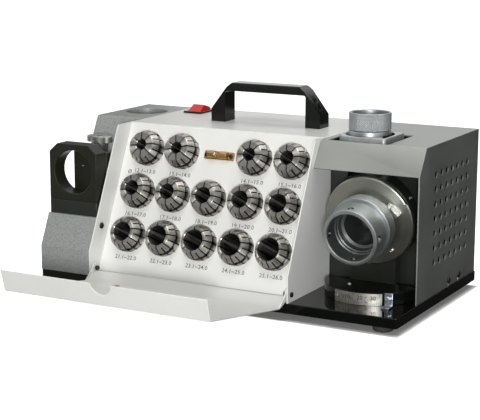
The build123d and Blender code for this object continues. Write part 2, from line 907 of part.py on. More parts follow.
# Right cover: one bent grey sheet, side, slanted fascia and top, with vents and a cut-out for the top port
cover_left = wall_right
cover_inside = cover_right - sheet
cover_bend = [(cover_front, cover_kink), (cover_top_front, body_height), (cover_back, body_height)]
cover_side = [
    (cover_front, 0),
    (cover_front, cover_kink),
    (cover_top_front, body_height),
    (cover_back, body_height),
    (cover_back, 0),
]
with BuildPart() as right_cover:
    with BuildSketch(side_plane(cover_left)):
        with BuildLine():
            Polyline(*side_points(bent_strip(cover_bend, sheet)), close=True)
        make_face()
    extrude(amount=cover_right - cover_left)
    with BuildSketch(side_plane(cover_inside)):
        with BuildLine():
            Polyline(*side_points(cover_side), close=True)
        make_face()
        for row in range(vent_count):
            for column in range(vent_count):
                vent = (vent_first_depth + column * vent_pitch, vent_first_height + row * vent_pitch)
                with Locations(*side_points([vent])):
                    Circle(vent_radius, mode=Mode.SUBTRACT)
        for index in range(2):
            slot_place = (cover_screw_first + index * cover_screw_pitch, cover_screw_height)
            with Locations(*side_points([slot_place])):
                Circle(cover_slot_width / 2, mode=Mode.SUBTRACT)
                Rectangle(
                    cover_slot_width,
                    2 * cover_screw_height,
                    align=(Align.CENTER, Align.MAX),
                    mode=Mode.SUBTRACT,
                )
    extrude(amount=sheet)
    with BuildSketch(level_plane(body_height)):
        with Locations((cover_left + cutout_left + cutout_width / 2, cutout_front + cutout_depth / 2)):
            Rectangle(cutout_width, cutout_depth)
    extrude(amount=-sheet, mode=Mode.SUBTRACT)
save(right_cover, "right_cover")

# Cover clip: a bent steel strip on the base plate, behind the cover's lower edge
clip_bend = [(cover_inside - clip_foot, 0), (cover_inside, 0), (cover_inside, clip_height)]
with BuildPart() as cover_clip:
    with BuildSketch(Plane(origin=(0, at(clip_front), base_top), x_dir=(1, 0, 0), z_dir=(0, -1, 0))):
        with BuildLine():
            Polyline(*bent_strip(clip_bend, -clip_thick), close=True)
        make_face()
    extrude(amount=-clip_length)
    with BuildSketch(side_plane(cover_inside)):
        for index in range(2):
            screw_place = (cover_screw_first + index * cover_screw_pitch, cover_screw_height)
            with Locations(*side_points([screw_place])):
                Circle(cover_screw_radius + run_clear)
    extrude(amount=-clip_thick, mode=Mode.SUBTRACT)
save(cover_clip, "cover_clip")

# Cover screws: two dark button heads outside the slots, shanks in the clip
with BuildPart() as cover_screws:
    with BuildSketch(side_plane(cover_right)):
        for index in range(2):
            screw_place = (cover_screw_first + index * cover_screw_pitch, cover_screw_height)
            with Locations(*side_points([screw_place])):
                Circle(cover_head_radius)
    extrude(amount=cover_head_height)
    with BuildSketch(side_plane(cover_inside - clip_thick)):
        for index in range(2):
            screw_place = (cover_screw_first + index * cover_screw_pitch, cover_screw_height)
            with Locations(*side_points([screw_place])):
                Circle(cover_screw_radius)
    extrude(amount=clip_thick + sheet)
save(cover_screws, "cover_screws")

# Wheel guard: a black sheet across the station, folded back under the top port, with a window to the wheel
guard_front = right_wall_depth
guard_right = cover_inside - part_gap
guard_bend = [(guard_front, 0), (guard_front, guard_height), (guard_front + guard_flange, guard_height)]
with BuildPart() as wheel_guard:
    with BuildSketch(side_plane(rack_right)):
        with BuildLine():
            Polyline(*side_points(bent_strip(guard_bend, guard_thick)), close=True)
        make_face()
    extrude(amount=guard_right - rack_right)
    with Locations(front_plane(guard_window_x, guard_front, guard_window_height)):
        Hole(guard_window_radius, guard_thick)
    with Locations(Plane((port_x, at(port_depth), up(guard_height)))):
        Hole(ring_radius, guard_flange)
save(wheel_guard, "wheel_guard")

# Port boss: a grey casting on the guard's flange, rounder at its left, bored out round the ring
port_plane = Plane((port_x, at(port_depth), up(guard_height)))
boss_height = collar_bottom - ring_height - guard_height
with BuildPart() as port_boss:
    with BuildSketch(port_plane) as boss_outline:
        Rectangle(boss_width, boss_depth)
        fillet(boss_outline.vertices().group_by(Axis.X)[0], boss_left_round)
        fillet(boss_outline.vertices().group_by(Axis.X)[-1], boss_round)
    extrude(amount=boss_height)
    chamfer(port_boss.faces().sort_by(Axis.Z)[-1].edges(), edge_break)
    with Locations(port_plane.offset(boss_height)):
        Hole(boss_bore_radius, boss_bore_depth)
        Hole(collar_stem_radius + run_clear, boss_height)
save(port_boss, "port_boss")

# Port ring: a polished ring in the boss's bore, under the collar
with BuildPart() as port_ring:
    with BuildSketch(port_plane.offset(boss_height - boss_bore_depth)):
        Circle(ring_radius)
        Circle(collar_stem_radius + run_clear, mode=Mode.SUBTRACT)
    extrude(amount=boss_bore_depth + ring_height - part_gap)
    outer_edge = port_ring.faces().sort_by(Axis.Z)[-1].edges().sort_by(SortBy.LENGTH)[-1]
    fillet(outer_edge, edge_break)
save(port_ring, "port_ring")

# Knurled collar: turns in the boss, and its bore guides the chuck's nose down to the wheel's rim
groove_top = collar_top - collar_groove_below
collar_section = front_plane(port_x, port_depth, 0)
with BuildPart() as knurled_collar:
    with BuildSketch(collar_section):
        with BuildLine():
            Polyline(
                (port_bore_radius, collar_bottom - collar_stem_length),
                (collar_stem_radius, collar_bottom - collar_stem_length),
                (collar_stem_radius, collar_bottom),
                (collar_radius - collar_chamfer, collar_bottom),
                (collar_radius, collar_bottom + collar_chamfer),
                (collar_radius, groove_top - collar_groove_width),
                (collar_groove_radius, groove_top - collar_groove_width),
                (collar_groove_radius, groove_top),
                (collar_radius, groove_top),
                (collar_radius, collar_top - collar_chamfer),
                (collar_radius - collar_chamfer, collar_top),
                (port_bore_radius, collar_top),
                close=True,
            )
        make_face()
    revolve(axis=Axis((port_x, at(port_depth), 0), (0, 0, 1)))
save(knurled_collar, "knurled_collar")

# Motor: a round body with two end bands, bored for the shaft and its bearings
motor_plane = front_plane(motor_x, motor_front, motor_height)
with BuildPart() as motor_body:
    with BuildSketch(motor_plane):
        Circle(motor_radius)
    extrude(amount=-motor_length)
    for band_start in (0, motor_length - motor_band):
        with BuildSketch(motor_plane.offset(-band_start)):
            Circle(motor_band_radius)
        extrude(amount=-motor_band)
    with Locations(motor_plane):
        Hole(shaft_radius + shaft_room, motor_length)
    with Locations(motor_plane):
        Hole(bearing_radius + run_clear, bearing_width)
    with Locations(motor_plane.offset(bearing_width - motor_length)):
        Hole(bearing_radius + run_clear, bearing_width)
save(motor_body, "motor_body")

# Bearings: one ring at each end of the motor
with BuildPart() as motor_bearings:
    for ring_start in (0, motor_length - bearing_width):
        with BuildSketch(motor_plane.offset(-ring_start)):
            Circle(bearing_radius)
            Circle(shaft_radius + run_clear, mode=Mode.SUBTRACT)
        extrude(amount=-bearing_width)
save(motor_bearings, "motor_bearings")

# Cradle: a block on the base plate that the motor lies in
with BuildPart() as motor_cradle:
    with BuildSketch(front_plane(motor_x, cradle_front, 0)):
        Rectangle(cradle_width, motor_height - cradle_wrap, align=(Align.CENTER, Align.MIN))
        with Locations((0, motor_height)):
            Circle(motor_radius + run_clear, mode=Mode.SUBTRACT)
    extrude(amount=-cradle_length)
save(motor_cradle, "motor_cradle")

# Shaft: a round steel shaft through the motor
with BuildPart() as motor_shaft:
    with BuildSketch(front_plane(motor_x, shaft_front, motor_height)):
        Circle(shaft_radius)
    extrude(amount=-(shaft_back - shaft_front))
save(motor_shaft, "motor_shaft")

# Grinding wheel: a dish with a conical front face and a flat rim
wheel_section = Plane(origin=(motor_x, at(wheel_front), up(motor_height)), x_dir=(1, 0, 0), z_dir=(0, 0, 1))
with BuildPart() as grinding_wheel:
    with BuildSketch(wheel_section):
        with BuildLine():
            Polyline(
                (shaft_radius, wheel_recess_depth),
                (wheel_face_radius, wheel_recess_depth),
                (wheel_face_radius, 0),
                (wheel_radius, wheel_width - wheel_rim_width),
                (wheel_radius, wheel_width),
                (shaft_radius, wheel_width),
                close=True,
            )
        make_face()
    revolve(axis=Axis((motor_x, 0, up(motor_height)), (0, 1, 0)))
save(grinding_wheel, "grinding_wheel")

# Wheel nut: a hexagon nut in the wheel's recess
with BuildPart() as wheel_nut:
    nut_front = wheel_front + wheel_recess_depth - wheel_nut_width
    with BuildSketch(front_plane(motor_x, nut_front, motor_height)):
        RegularPolygon(wheel_nut_radius, 6)
        Circle(shaft_radius, mode=Mode.SUBTRACT)
    extrude(amount=-wheel_nut_width)
save(wheel_nut, "wheel_nut")

# Fan: a hub with straight blades behind the motor
with BuildPart() as cooling_fan:
    with BuildSketch(front_plane(motor_x, fan_front, motor_height)):
        Circle(fan_hub_radius)
        with PolarLocations(0, fan_blades):
            Rectangle(fan_radius, fan_blade_thick, align=(Align.MIN, Align.CENTER))
        Circle(shaft_radius, mode=Mode.SUBTRACT)
    extrude(amount=-fan_width)
save(cooling_fan, "cooling_fan")

# Swivel pin: a steel pin standing on the base plate
with BuildPart() as swivel_pin:
    with BuildSketch(level_plane(0)):
        with Locations((swivel_x, swivel_depth)):
            Circle(swivel_pin_radius)
    extrude(amount=swivel_pin_height)
save(swivel_pin, "swivel_pin")

# Swivel drum: the front half of a drum round the pin, with a round hub
drum_plane = Plane((swivel_x, at(swivel_depth), up(part_gap)))
with BuildPart() as swivel_drum:
    with BuildSketch(drum_plane):
        Circle(drum_radius)
        with Locations((0, -drum_back)):
            Rectangle(2 * drum_radius, drum_radius * 2, align=(Align.CENTER, Align.MIN), mode=Mode.SUBTRACT)
        Circle(drum_hub_radius)
        Circle(swivel_pin_radius + run_clear, mode=Mode.SUBTRACT)
    extrude(amount=drum_height)
save(swivel_drum, "swivel_drum")

# Angle scale: a thin curved strip on the drum's front
left_end = math.radians(scale_left)
right_end = math.radians(scale_right)
scale_reach = 2 * drum_radius
with BuildPart() as angle_scale:
    with BuildSketch(drum_plane):
        Circle(drum_radius + scale_thick)
        Circle(drum_radius, mode=Mode.SUBTRACT)
        with BuildSketch(mode=Mode.PRIVATE) as sector:
            with BuildLine():
                Polyline(
                    (0, 0),
                    (-scale_reach * math.sin(left_end), -scale_reach * math.cos(left_end)),
                    (0, -scale_reach),
                    (scale_reach * math.sin(right_end), -scale_reach * math.cos(right_end)),
                    close=True,
                )
            make_face()
        add(sector.sketch, mode=Mode.INTERSECT)
    extrude(amount=scale_height)
save(angle_scale, "angle_scale")

# Index tab: a bent zinc-plated tab on the base plate, just clear of the scale
tab_side = tab_x - tab_width / 2 - swivel_x
tab_radius = drum_radius + scale_thick + tab_gap
tab_back = swivel_depth - math.sqrt(tab_radius**2 - tab_side**2)
tab_bend = [(tab_back - tab_foot, 0), (tab_back, 0), (tab_back, tab_height)]
with BuildPart() as index_tab:
    with BuildSketch(side_plane(tab_x - tab_width / 2)):
        with BuildLine():
            Polyline(*side_points(bent_strip(tab_bend, -tab_thick)), close=True)
        make_face()
    extrude(amount=tab_width)
save(index_tab, "index_tab")

# The front port's axis leans down towards the front; its plane has the second axis up the disc
tilt_sin = math.sin(math.radians(port_tilt))
tilt_cos = math.cos(math.radians(port_tilt))
disc_plane = Plane(
    origin=(swivel_x, at(disc_depth), up(disc_height)),
    x_dir=(1, 0, 0),
    z_dir=(0, -tilt_cos, -tilt_sin),
)

# Swivel head: a black round head on a pedestal, bored for the socket
with BuildPart() as swivel_head:
    with BuildSketch(front_plane(swivel_x, pedestal_front, drum_height + part_gap)):
        Rectangle(pedestal_width, pedestal_height - drum_height, align=(Align.CENTER, Align.MIN))
    extrude(amount=-pedestal_thick)
    with BuildSketch(disc_plane.offset(-disc_thick)):
        Circle(head_radius)
    extrude(amount=-(head_back - disc_thick))
    with Locations(disc_plane):
        Hole(head_bore_radius, 2 * head_back)
save(swivel_head, "swivel_head")

# Cam disc: a turned steel disc with a lower step on its right
with BuildPart() as cam_disc:
    with BuildSketch(disc_plane.offset(-disc_thick)):
        Circle(disc_radius)
        Circle(head_bore_radius, mode=Mode.SUBTRACT)
    extrude(amount=disc_thick)
    with BuildSketch(disc_plane):
        with Locations((0, disc_step_v)):
            Rectangle(disc_radius, 2 * disc_radius, align=(Align.MIN, Align.MAX))
        Circle(socket_neck_radius, mode=Mode.SUBTRACT)
    extrude(amount=-disc_step, mode=Mode.SUBTRACT)
save(cam_disc, "cam_disc")

# Cam keys: two polished bars on the disc's step
with BuildPart() as cam_keys:
    with BuildSketch(disc_plane.offset(-disc_step)):
        with Locations((socket_neck_radius + key_pitch, key_v)):
            with GridLocations(key_pitch, 1, 2, 1):
                Rectangle(key_width, key_length)
    extrude(amount=disc_step + key_proud)
save(cam_keys, "cam_keys")

# Socket: the stepped steel sleeve that takes the drill chuck, with four radial holes near its mouth
socket_section = Plane(
    origin=disc_plane.origin,
    x_dir=(1, 0, 0),
    z_dir=(0, tilt_sin, -tilt_cos),
)
bore_end = socket_reach - socket_bore_depth
groove_end = bore_end - socket_groove_width
middle_end = groove_end - socket_mid_depth
line_back = socket_collar_front + socket_line_width
with BuildPart() as chuck_socket:
    with BuildSketch(socket_section):
        with BuildLine():
            Polyline(
                (socket_bore_radius, socket_reach),
                (socket_bore_radius, bore_end),
                (socket_groove_radius, bore_end),
                (socket_groove_radius, groove_end),
                (socket_mid_radius, groove_end),
                (socket_mid_radius, middle_end),
                (socket_end_radius, middle_end),
                (socket_end_radius, -head_back),
                (head_bore_radius, -head_back),
                (head_bore_radius, 0),
                (socket_neck_radius, 0),
                (socket_neck_radius, socket_collar_back),
                (socket_collar_radius, socket_collar_back),
                (socket_collar_radius, socket_collar_front),
                (socket_radius - socket_line_depth, socket_collar_front),
                (socket_radius - socket_line_depth, line_back),
                (socket_radius, line_back),
                (socket_radius, socket_reach),
                close=True,
            )
        make_face()
    revolve(axis=Axis(disc_plane.origin, disc_plane.z_dir))
    for index in range(socket_hole_count):
        turn = 2 * math.pi * index / socket_hole_count
        out = disc_plane.x_dir * math.cos(turn) + disc_plane.y_dir * math.sin(turn)
        start = disc_plane.origin + disc_plane.z_dir * (socket_reach - socket_hole_back)
        with BuildSketch(Plane(origin=start, x_dir=disc_plane.z_dir, z_dir=out)):
            Circle(socket_hole_radius)
        extrude(amount=2 * socket_radius, mode=Mode.SUBTRACT)
save(chuck_socket, "chuck_socket")

# Lid: one bent white sheet with an ear at each end and a finger notch in the flap
lid_left = rack_left + lid_side_gap
lid_right = rack_right - lid_side_gap
flap_edge = lid_inner[0]
flap_fold = lid_inner[1]
flap_turn = math.atan2(flap_edge[1] - flap_fold[1], flap_edge[0] - flap_fold[0])
flap_plane = Plane(
    origin=(rack_mid, at(flap_edge[0]), up(flap_edge[1])),
    x_dir=(1, 0, 0),
    z_dir=(0, math.sin(flap_turn), -math.cos(flap_turn)),
)
with BuildPart() as lid_panel:
    with BuildSketch(side_plane(lid_left)):
        with BuildLine():
            Polyline(*side_points(lid_profile), close=True)
        make_face()
    extrude(amount=lid_right - lid_left)
    for ear_x in (lid_left, lid_right - sheet):
        with BuildSketch(side_plane(ear_x)):
            with BuildLine():
                Polyline(
                    *side_points(
                        [
                            lid_inner[3],
                            lid_inner[2],
                            (pivot_depth, pivot_height + ear_radius),
                        ]
                    ),
                    close=True,
                )
            make_face()
            with Locations(*side_points([(pivot_depth, pivot_height)])):
                Circle(ear_radius)
                Circle(pivot_radius + run_clear, mode=Mode.SUBTRACT)
        extrude(amount=sheet)
    with BuildSketch(flap_plane):
        Circle(lid_notch_radius)
    extrude(amount=2 * sheet, both=True, mode=Mode.SUBTRACT)
save(lid_panel, "lid_panel")

# Strike: a brass tongue on a foot plate, placed so that it meets the catch when the lid is shut
lid_turn = math.radians(lid_swing)
strike_normal = math.radians(90 - slant) + math.pi / 2
closed_point = (
    panel_depth(0) + collet_top_v * slant_sin - (panel_recess - lid_gap) * slant_cos,
    collet_top_v * slant_cos + (panel_recess - lid_gap) * slant_sin,
)
strike_point = lid_open(closed_point)
strike_dir = strike_normal + math.pi + lid_turn
strike_plane = Plane(
    origin=(rack_mid, at(strike_point[0]), up(strike_point[1])),
    x_dir=(1, 0, 0),
    z_dir=(0, math.cos(strike_dir), math.sin(strike_dir)),
)
with BuildPart() as lid_strike:
    with BuildSketch(strike_plane):
        RectangleRounded(strike_foot, strike_width, edge_break)
    extrude(amount=strike_foot_thick)
    with BuildSketch(strike_plane):
        Rectangle(strike_thick, strike_width)
    extrude(amount=strike_height)
    fillet(lid_strike.edges().filter_by(Axis.X).group_by(SortBy.DISTANCE)[-1], edge_break / 2)
save(lid_strike, "lid_strike")

# Lid pivots: a screw and nut through each wall and ear, with a head outside the right wall
with BuildPart() as lid_pivots:
    with BuildSketch(side_plane(wall_left)):
        with Locations(*side_points([(pivot_depth, pivot_height)])):
            Circle(pivot_radius)
    extrude(amount=pivot_reach)
    with BuildSketch(side_plane(wall_right)):
        with Locations(*side_points([(pivot_depth, pivot_height)])):
            Circle(pivot_radius)
    extrude(amount=-pivot_reach)
    with BuildSketch(side_plane(wall_right)):
        with Locations(*side_points([(pivot_depth, pivot_height)])):
            Circle(pivot_head_radius)
    extrude(amount=pivot_head_height)
    for nut_x in (lid_left + sheet + part_gap, lid_right - sheet - part_gap - pivot_nut_height):
        with BuildSketch(side_plane(nut_x)):
            with Locations(*side_points([(pivot_depth, pivot_height)])):
                RegularPolygon(pivot_head_radius, 6)
        extrude(amount=pivot_nut_height)
save(lid_pivots, "lid_pivots")

# Back panel: a sheet set in from the back, closing the rack and the station
back_front = base_depth - back_inset
with BuildPart() as back_panel:
    with BuildSketch(front_plane(0, back_front, 0)):
        with Locations(((rack_left + cover_inside) / 2, 0)):
            Rectangle(cover_inside - rack_left, body_height - sheet, align=(Align.CENTER, Align.MIN))
        with Locations((gland_x, gland_height)):
            Circle(gland_body_radius + run_clear, mode=Mode.SUBTRACT)
    extrude(amount=-sheet)
save(back_panel, "back_panel")

# Cable gland: a hexagon nut and a round nose with a hole for the lead
gland_plane = Plane(
    origin=(gland_x, at(back_front + sheet), up(gland_height)),
    x_dir=(-1, 0, 0),
    z_dir=(0, 1, 0),
)
with BuildPart() as cable_gland:
    with BuildSketch(gland_plane):
        RegularPolygon(gland_nut_radius, 6)
    extrude(amount=gland_nut_height)
    with BuildSketch(gland_plane.offset(-sheet)):
        Circle(gland_body_radius)
    extrude(amount=sheet + gland_body_length)
    with BuildSketch(gland_plane.offset(-sheet)):
        Circle(gland_bore_radius)
    extrude(amount=sheet + gland_body_length, mode=Mode.SUBTRACT)
save(cable_gland, "cable_gland")
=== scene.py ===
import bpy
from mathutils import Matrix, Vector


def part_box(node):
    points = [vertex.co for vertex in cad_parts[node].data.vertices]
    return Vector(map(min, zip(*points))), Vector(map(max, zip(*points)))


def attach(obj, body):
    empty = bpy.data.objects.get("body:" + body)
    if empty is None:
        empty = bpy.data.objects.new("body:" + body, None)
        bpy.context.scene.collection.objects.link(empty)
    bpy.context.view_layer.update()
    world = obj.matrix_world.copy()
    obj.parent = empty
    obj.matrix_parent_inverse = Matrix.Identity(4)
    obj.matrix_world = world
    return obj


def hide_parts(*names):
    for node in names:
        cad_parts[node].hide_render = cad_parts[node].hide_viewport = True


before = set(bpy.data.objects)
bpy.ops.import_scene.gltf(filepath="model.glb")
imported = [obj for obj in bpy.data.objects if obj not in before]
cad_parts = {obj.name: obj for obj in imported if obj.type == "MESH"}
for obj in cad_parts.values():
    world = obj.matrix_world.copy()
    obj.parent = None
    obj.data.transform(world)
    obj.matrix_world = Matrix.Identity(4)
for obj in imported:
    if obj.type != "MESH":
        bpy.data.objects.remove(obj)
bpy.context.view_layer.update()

import math

import bmesh
import bpy
import numpy as np
from mathutils import Vector

# Studio: a pale paper sweep under and behind the machine. One soft box hangs high at the front, a compact one
# stands beside the camera, and a wide one is overhead. Cards that the camera doesn't see tone the reflections.
scene = bpy.context.scene
scene.view_settings.view_transform = "Standard"


def grid_faces(rows, cols, loop_rows=False, loop_cols=False):
    """Quads of a rows-by-cols grid of points, closed round where a direction is a loop."""
    i = np.arange(rows if loop_rows else rows - 1)[:, None]
    j = np.arange(cols if loop_cols else cols - 1)[None, :]
    corners = [(i, j), (i + 1, j), (i + 1, j + 1), (i, j + 1)]
    return np.stack([a % rows * cols + b % cols for a, b in corners], -1).reshape(-1, 4)


def sweep_points(half_width, front, back, bend, height):
    """Paper sweep: a flat run, a quarter circle of radius bend and an upright run, carried along X."""
    turn = np.linspace(0, math.pi / 2, 17)
    y = np.concatenate([[front], back + bend * np.sin(turn), [back + bend]])
    z = np.concatenate([[0], bend - bend * np.cos(turn), [height]])
    side = np.array([-half_width, half_width])[:, None]
    return np.stack(np.broadcast_arrays(side, y[None, :], z[None, :]), -1)


def stage_piece(name, points, paint):
    """A mesh of the studio, which isn't part of the machine."""
    mesh = bpy.data.meshes.new(name)
    mesh.from_pydata(points.reshape(-1, 3).tolist(), [], grid_faces(*points.shape[:2]).tolist())
    mesh.polygons.foreach_set("use_smooth", np.ones(len(mesh.polygons), bool))
    mesh.materials.append(paint)
    piece = bpy.data.objects.new(name, mesh)
    scene.collection.objects.link(piece)
    return piece


def add_node(tree, kind, links=(), **settings):
    """A node with its settings, and its inputs by name or number set to a value or linked to a socket."""
    node = tree.nodes.new("ShaderNode" + kind)
    for name, value in settings.items():
        setattr(node, name, value)
    for name, value in links:
        if isinstance(value, bpy.types.NodeSocket):
            tree.links.new(value, node.inputs[name])
        else:
            node.inputs[name].default_value = value
    return node


def reckon(tree, operation, *values, kind="Math", out=0):
    """The result of one operation on sockets and values."""
    return add_node(tree, kind, list(enumerate(values)), operation=operation).outputs[out]


def spread(tree, value, low, high, start=0.0, stop=1.0, **settings):
    """A value carried from the range low to high onto the range start to stop."""
    return add_node(tree, "MapRange", [
        ("Value", value), ("From Min", low), ("From Max", high), ("To Min", start), ("To Max", stop)],
        **settings).outputs["Result"]


def in_plain_sight(tree):
    """One for rays from the camera, off gloss or through glass, and nought for soft light."""
    ray = add_node(tree, "LightPath").outputs
    seen = reckon(tree, "MAXIMUM", ray["Is Camera Ray"], ray["Is Glossy Ray"])
    return reckon(tree, "MAXIMUM", seen, ray["Is Transmission Ray"])


paper_white = 0.97
shadow_reach = 0.006
plate_low, plate_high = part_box("base_plate")
plate_middle = (0, (plate_low.y + plate_high.y) / 2, 0)
plate_half = (plate_high.x, (plate_high.y - plate_low.y) / 2, 0)


def paper_glow(tree):
    """White in plain sight, fading to shadow under the machine: the distance from the plate's rectangle is the
    length of what is left of each side's offset beyond the plate's half size."""
    place = add_node(tree, "TexCoord").outputs["Object"]
    aside = reckon(tree, "SUBTRACT", place, plate_middle, kind="VectorMath")
    aside = reckon(tree, "ABSOLUTE", aside, kind="VectorMath")
    aside = reckon(tree, "SUBTRACT", aside, plate_half, kind="VectorMath")
    aside = reckon(tree, "MAXIMUM", aside, (0, 0, 0), kind="VectorMath")
    aside = reckon(tree, "LENGTH", aside, kind="VectorMath", out="Value")
    rise = spread(tree, aside, 0.0, shadow_reach, 0.0, paper_white, interpolation_type="SMOOTHSTEP")
    return reckon(tree, "MULTIPLY", in_plain_sight(tree), rise)


def stage_paint(name, grey):
    """A dull material of the studio, of one grey, whose glow is white."""
    paint = bpy.data.materials.new(name)
    paint.use_nodes = True
    shader = paint.node_tree.nodes["Principled BSDF"]
    shader.inputs["Base Color"].default_value = (grey, grey, grey, 1)
    shader.inputs["Roughness"].default_value = 0.9
    shader.inputs["Emission Color"].default_value = (1, 1, 1, 1)
    return paint, shader.inputs["Emission Strength"]


paper, paper_strength = stage_paint("pale_paper", 0.90)
paper.node_tree.links.new(paper_glow(paper.node_tree), paper_strength)
stage_piece("paper_sweep", sweep_points(half_width=9.0, front=-9.0, back=6.0, bend=2.0, height=7.0), paper)


def studio_card(name, corner, first, second, grey, bounces=True, glow=0.0):
    """A flat card of the studio, from a corner along two sides, that the camera doesn't see and that keeps no lamp
    off. It tones the reflections, and if it bounces it counts in the soft light too."""
    card_paint, strength = stage_paint(name, grey)
    strength.default_value = glow
    i, j = np.meshgrid(np.linspace(0, 1, 3), np.linspace(0, 1, 3), indexing="ij")
    points = np.array(corner) + i[..., None] * np.array(first) + j[..., None] * np.array(second)
    card = stage_piece(name, points, card_paint)
    card.visible_camera = False
    card.visible_shadow = False
    card.visible_diffuse = bounces


card_gap = 0.003
studio_card("room_wall", (-5, -4.2, 0.3), (10, 0, 0), (0, 0, 4.7), grey=0.2, glow=0.17)
studio_card("front_table", (-2.6, -3.6, 0.004), (5.2, 0, 0), (0, 3.6 + plate_low.y - card_gap, 0), grey=0.42)
studio_card("front_strip", (0.1, plate_low.y - 0.09, 0.005), (0.4, 0, 0), (0, 0.087, 0), grey=0.02)
studio_card("right_table", (plate_high.x + card_gap, plate_low.y, 0.004), (2.3, 0, 0), (0, 2.2, 0), grey=0.015)
studio_card("left_screen", (-2.2, 1.2, 0.006), (1.2, 0.33, 0), (0, 0, 1.0), grey=0.2, bounces=False)
studio_card("back_screen", (0.35, 1.6, 0.006), (1.25, -1.4, 0), (0, 0, 1.2), grey=0.03, bounces=False)

room = bpy.data.worlds.new("soft_room")
room.use_nodes = True
room_tree = room.node_tree
room_air = room_tree.nodes["Background"]
room_air.inputs["Color"].default_value = (0.14, 0.145, 0.15, 1)
room_white = add_node(room_tree, "Background", [("Color", (1, 1, 1, 1))])
room_mix = add_node(room_tree, "MixShader", [
    (0, in_plain_sight(room_tree)), (1, room_air.outputs[0]), (2, room_white.outputs[0])])
room_tree.links.new(room_mix.outputs[0], room_tree.nodes["World Output"].inputs["Surface"])
scene.world = room


def soft_lamp(name, place, aim, width, height, power, colour):
    """A rectangular soft box at place that faces aim."""
    light = bpy.data.lights.new(name, "AREA")
    light.shape = "RECTANGLE"
    light.size, light.size_y = width, height
    light.energy = power
    light.color = colour
    lamp = bpy.data.objects.new(name, light)
    lamp.location = place
    lamp.rotation_euler = (Vector(aim) - Vector(place)).to_track_quat("-Z", "Y").to_euler()
    scene.collection.objects.link(lamp)


warm_white = (1.0, 0.985, 0.95)
soft_lamp("key_box", place=(0.10, -1.12, 2.06), aim=(0, 0.05, 0.1), width=0.6, height=0.6, power=13,
          colour=warm_white)
soft_lamp("front_box", place=(1.08, -2.02, 0.42), aim=(0.02, 0, 0.11), width=0.22, height=0.22, power=33,
          colour=(1.0, 0.995, 0.985))
soft_lamp("top_box", place=(0.75, 0.45, 2.2), aim=(0.1, 0.05, 0.1), width=1.6, height=1.4, power=15,
          colour=warm_white)

camera_drop, camera_roll, camera_turn = np.radians([11.58, -0.13, 28.53])
view = bpy.data.cameras.new("photo_view")
view.sensor_fit = "HORIZONTAL"
view.sensor_width = 36
view.lens = 109.47
camera = bpy.data.objects.new("photo_view", view)
camera.location = (0.7663, -1.3730, 0.4264)
camera.rotation_euler = (math.pi / 2 - camera_drop, camera_roll, camera_turn)
scene.collection.objects.link(camera)
scene.camera = camera

# Base plate and feet: a thick steel plate in gloss black enamel, its edges eased by a file.
# Four moulded rubber feet are held under it by round-headed screws.


def skin_group(name):
    """An empty pattern group, its inputs and its outputs: place, cell and roughness range in; tone, roughness and
    height out."""
    group = bpy.data.node_groups.new(name, "ShaderNodeTree")
    group.interface.new_socket("Place", in_out="INPUT", socket_type="NodeSocketVector")
    for way, names in (("INPUT", ("Cell", "Rough low", "Rough high")), ("OUTPUT", ("Tone", "Roughness", "Height"))):
        for socket in names:
            group.interface.new_socket(socket, in_out=way, socket_type="NodeSocketFloat")
    return group, group.nodes.new("NodeGroupInput").outputs, group.nodes.new("NodeGroupOutput").inputs


def close_group(group, source, sink, tone, rough, height):
    """Joins a pattern to the group's outputs, with the roughness spread over its range."""
    noise_low, noise_high = 0.25, 0.75
    rough = spread(group, rough, noise_low, noise_high, source["Rough low"], source["Rough high"])
    for socket, value in (("Tone", tone), ("Roughness", rough), ("Height", height)):
        group.links.new(value, sink[socket])


def cloud(group, place, scale, detail=2.0, roughness=0.5):
    """Cloudy noise of that scale over a place."""
    return add_node(group, "TexNoise", [
        ("Vector", place), ("Scale", scale), ("Detail", detail), ("Roughness", roughness)]).outputs[0]


# Paint skin: fine orange peel for the height, broad cloudy patches for the tone and the gloss.
paint_skin, paint_in, paint_out = skin_group("paint_skin")
peel = cloud(paint_skin, paint_in["Place"], paint_in["Cell"])
patch = cloud(paint_skin, paint_in["Place"], scale=17.0, detail=4.0)
paint_tone = reckon(paint_skin, "MULTIPLY_ADD", peel, 0.35, patch)
close_group(paint_skin, paint_in, paint_out, spread(paint_skin, paint_tone, low=0.4, high=0.95), patch, peel)


def finish(name, pattern, cell, rough, low, high, bump, places=None, **shader_values):
    """A Principled material whose colour, roughness and bump come from one of the pattern groups."""
    paint = bpy.data.materials.new(name)
    paint.use_nodes = True
    tree = paint.node_tree
    shader = tree.nodes["Principled BSDF"]
    where = add_node(tree, "TexCoord").outputs["Object"]
    if places:
        where = add_node(tree, "Mapping", [
            ("Vector", where), ("Location", places[0]), ("Rotation", places[1])], vector_type="TEXTURE").outputs[0]
    skin = add_node(tree, "Group", [
        ("Place", where), ("Cell", cell), ("Rough low", rough[0]), ("Rough high", rough[1])], node_tree=pattern)
    tint = add_node(tree, "Mix", [
        (6, (*low, 1)), (7, (*high, 1)), (0, skin.outputs["Tone"])], data_type="RGBA")
    tree.links.new(tint.outputs[2], shader.inputs["Base Color"])
    tree.links.new(skin.outputs["Roughness"], shader.inputs["Roughness"])
    relief = add_node(tree, "Bump", [
        ("Strength", bump[0]), ("Distance", bump[1]), ("Height", skin.outputs["Height"])])
    tree.links.new(relief.outputs[0], shader.inputs["Normal"])
    for socket, value in shader_values.items():
        shader.inputs[socket.replace("_", " ")].default_value = value
    return paint


def mesh_points(mesh):
    """A mesh's points as an array."""
    points = np.empty(len(mesh.vertices) * 3)
    mesh.vertices.foreach_get("co", points)
    return points.reshape(-1, 3)


def set_on_body(name, mesh, body, paint):
    """An object at the origin for a finished mesh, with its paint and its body."""
    mesh.materials.clear()
    mesh.materials.append(paint)
    piece = bpy.data.objects.new(name, mesh)
    scene.collection.objects.link(piece)
    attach(piece, body)
    return piece


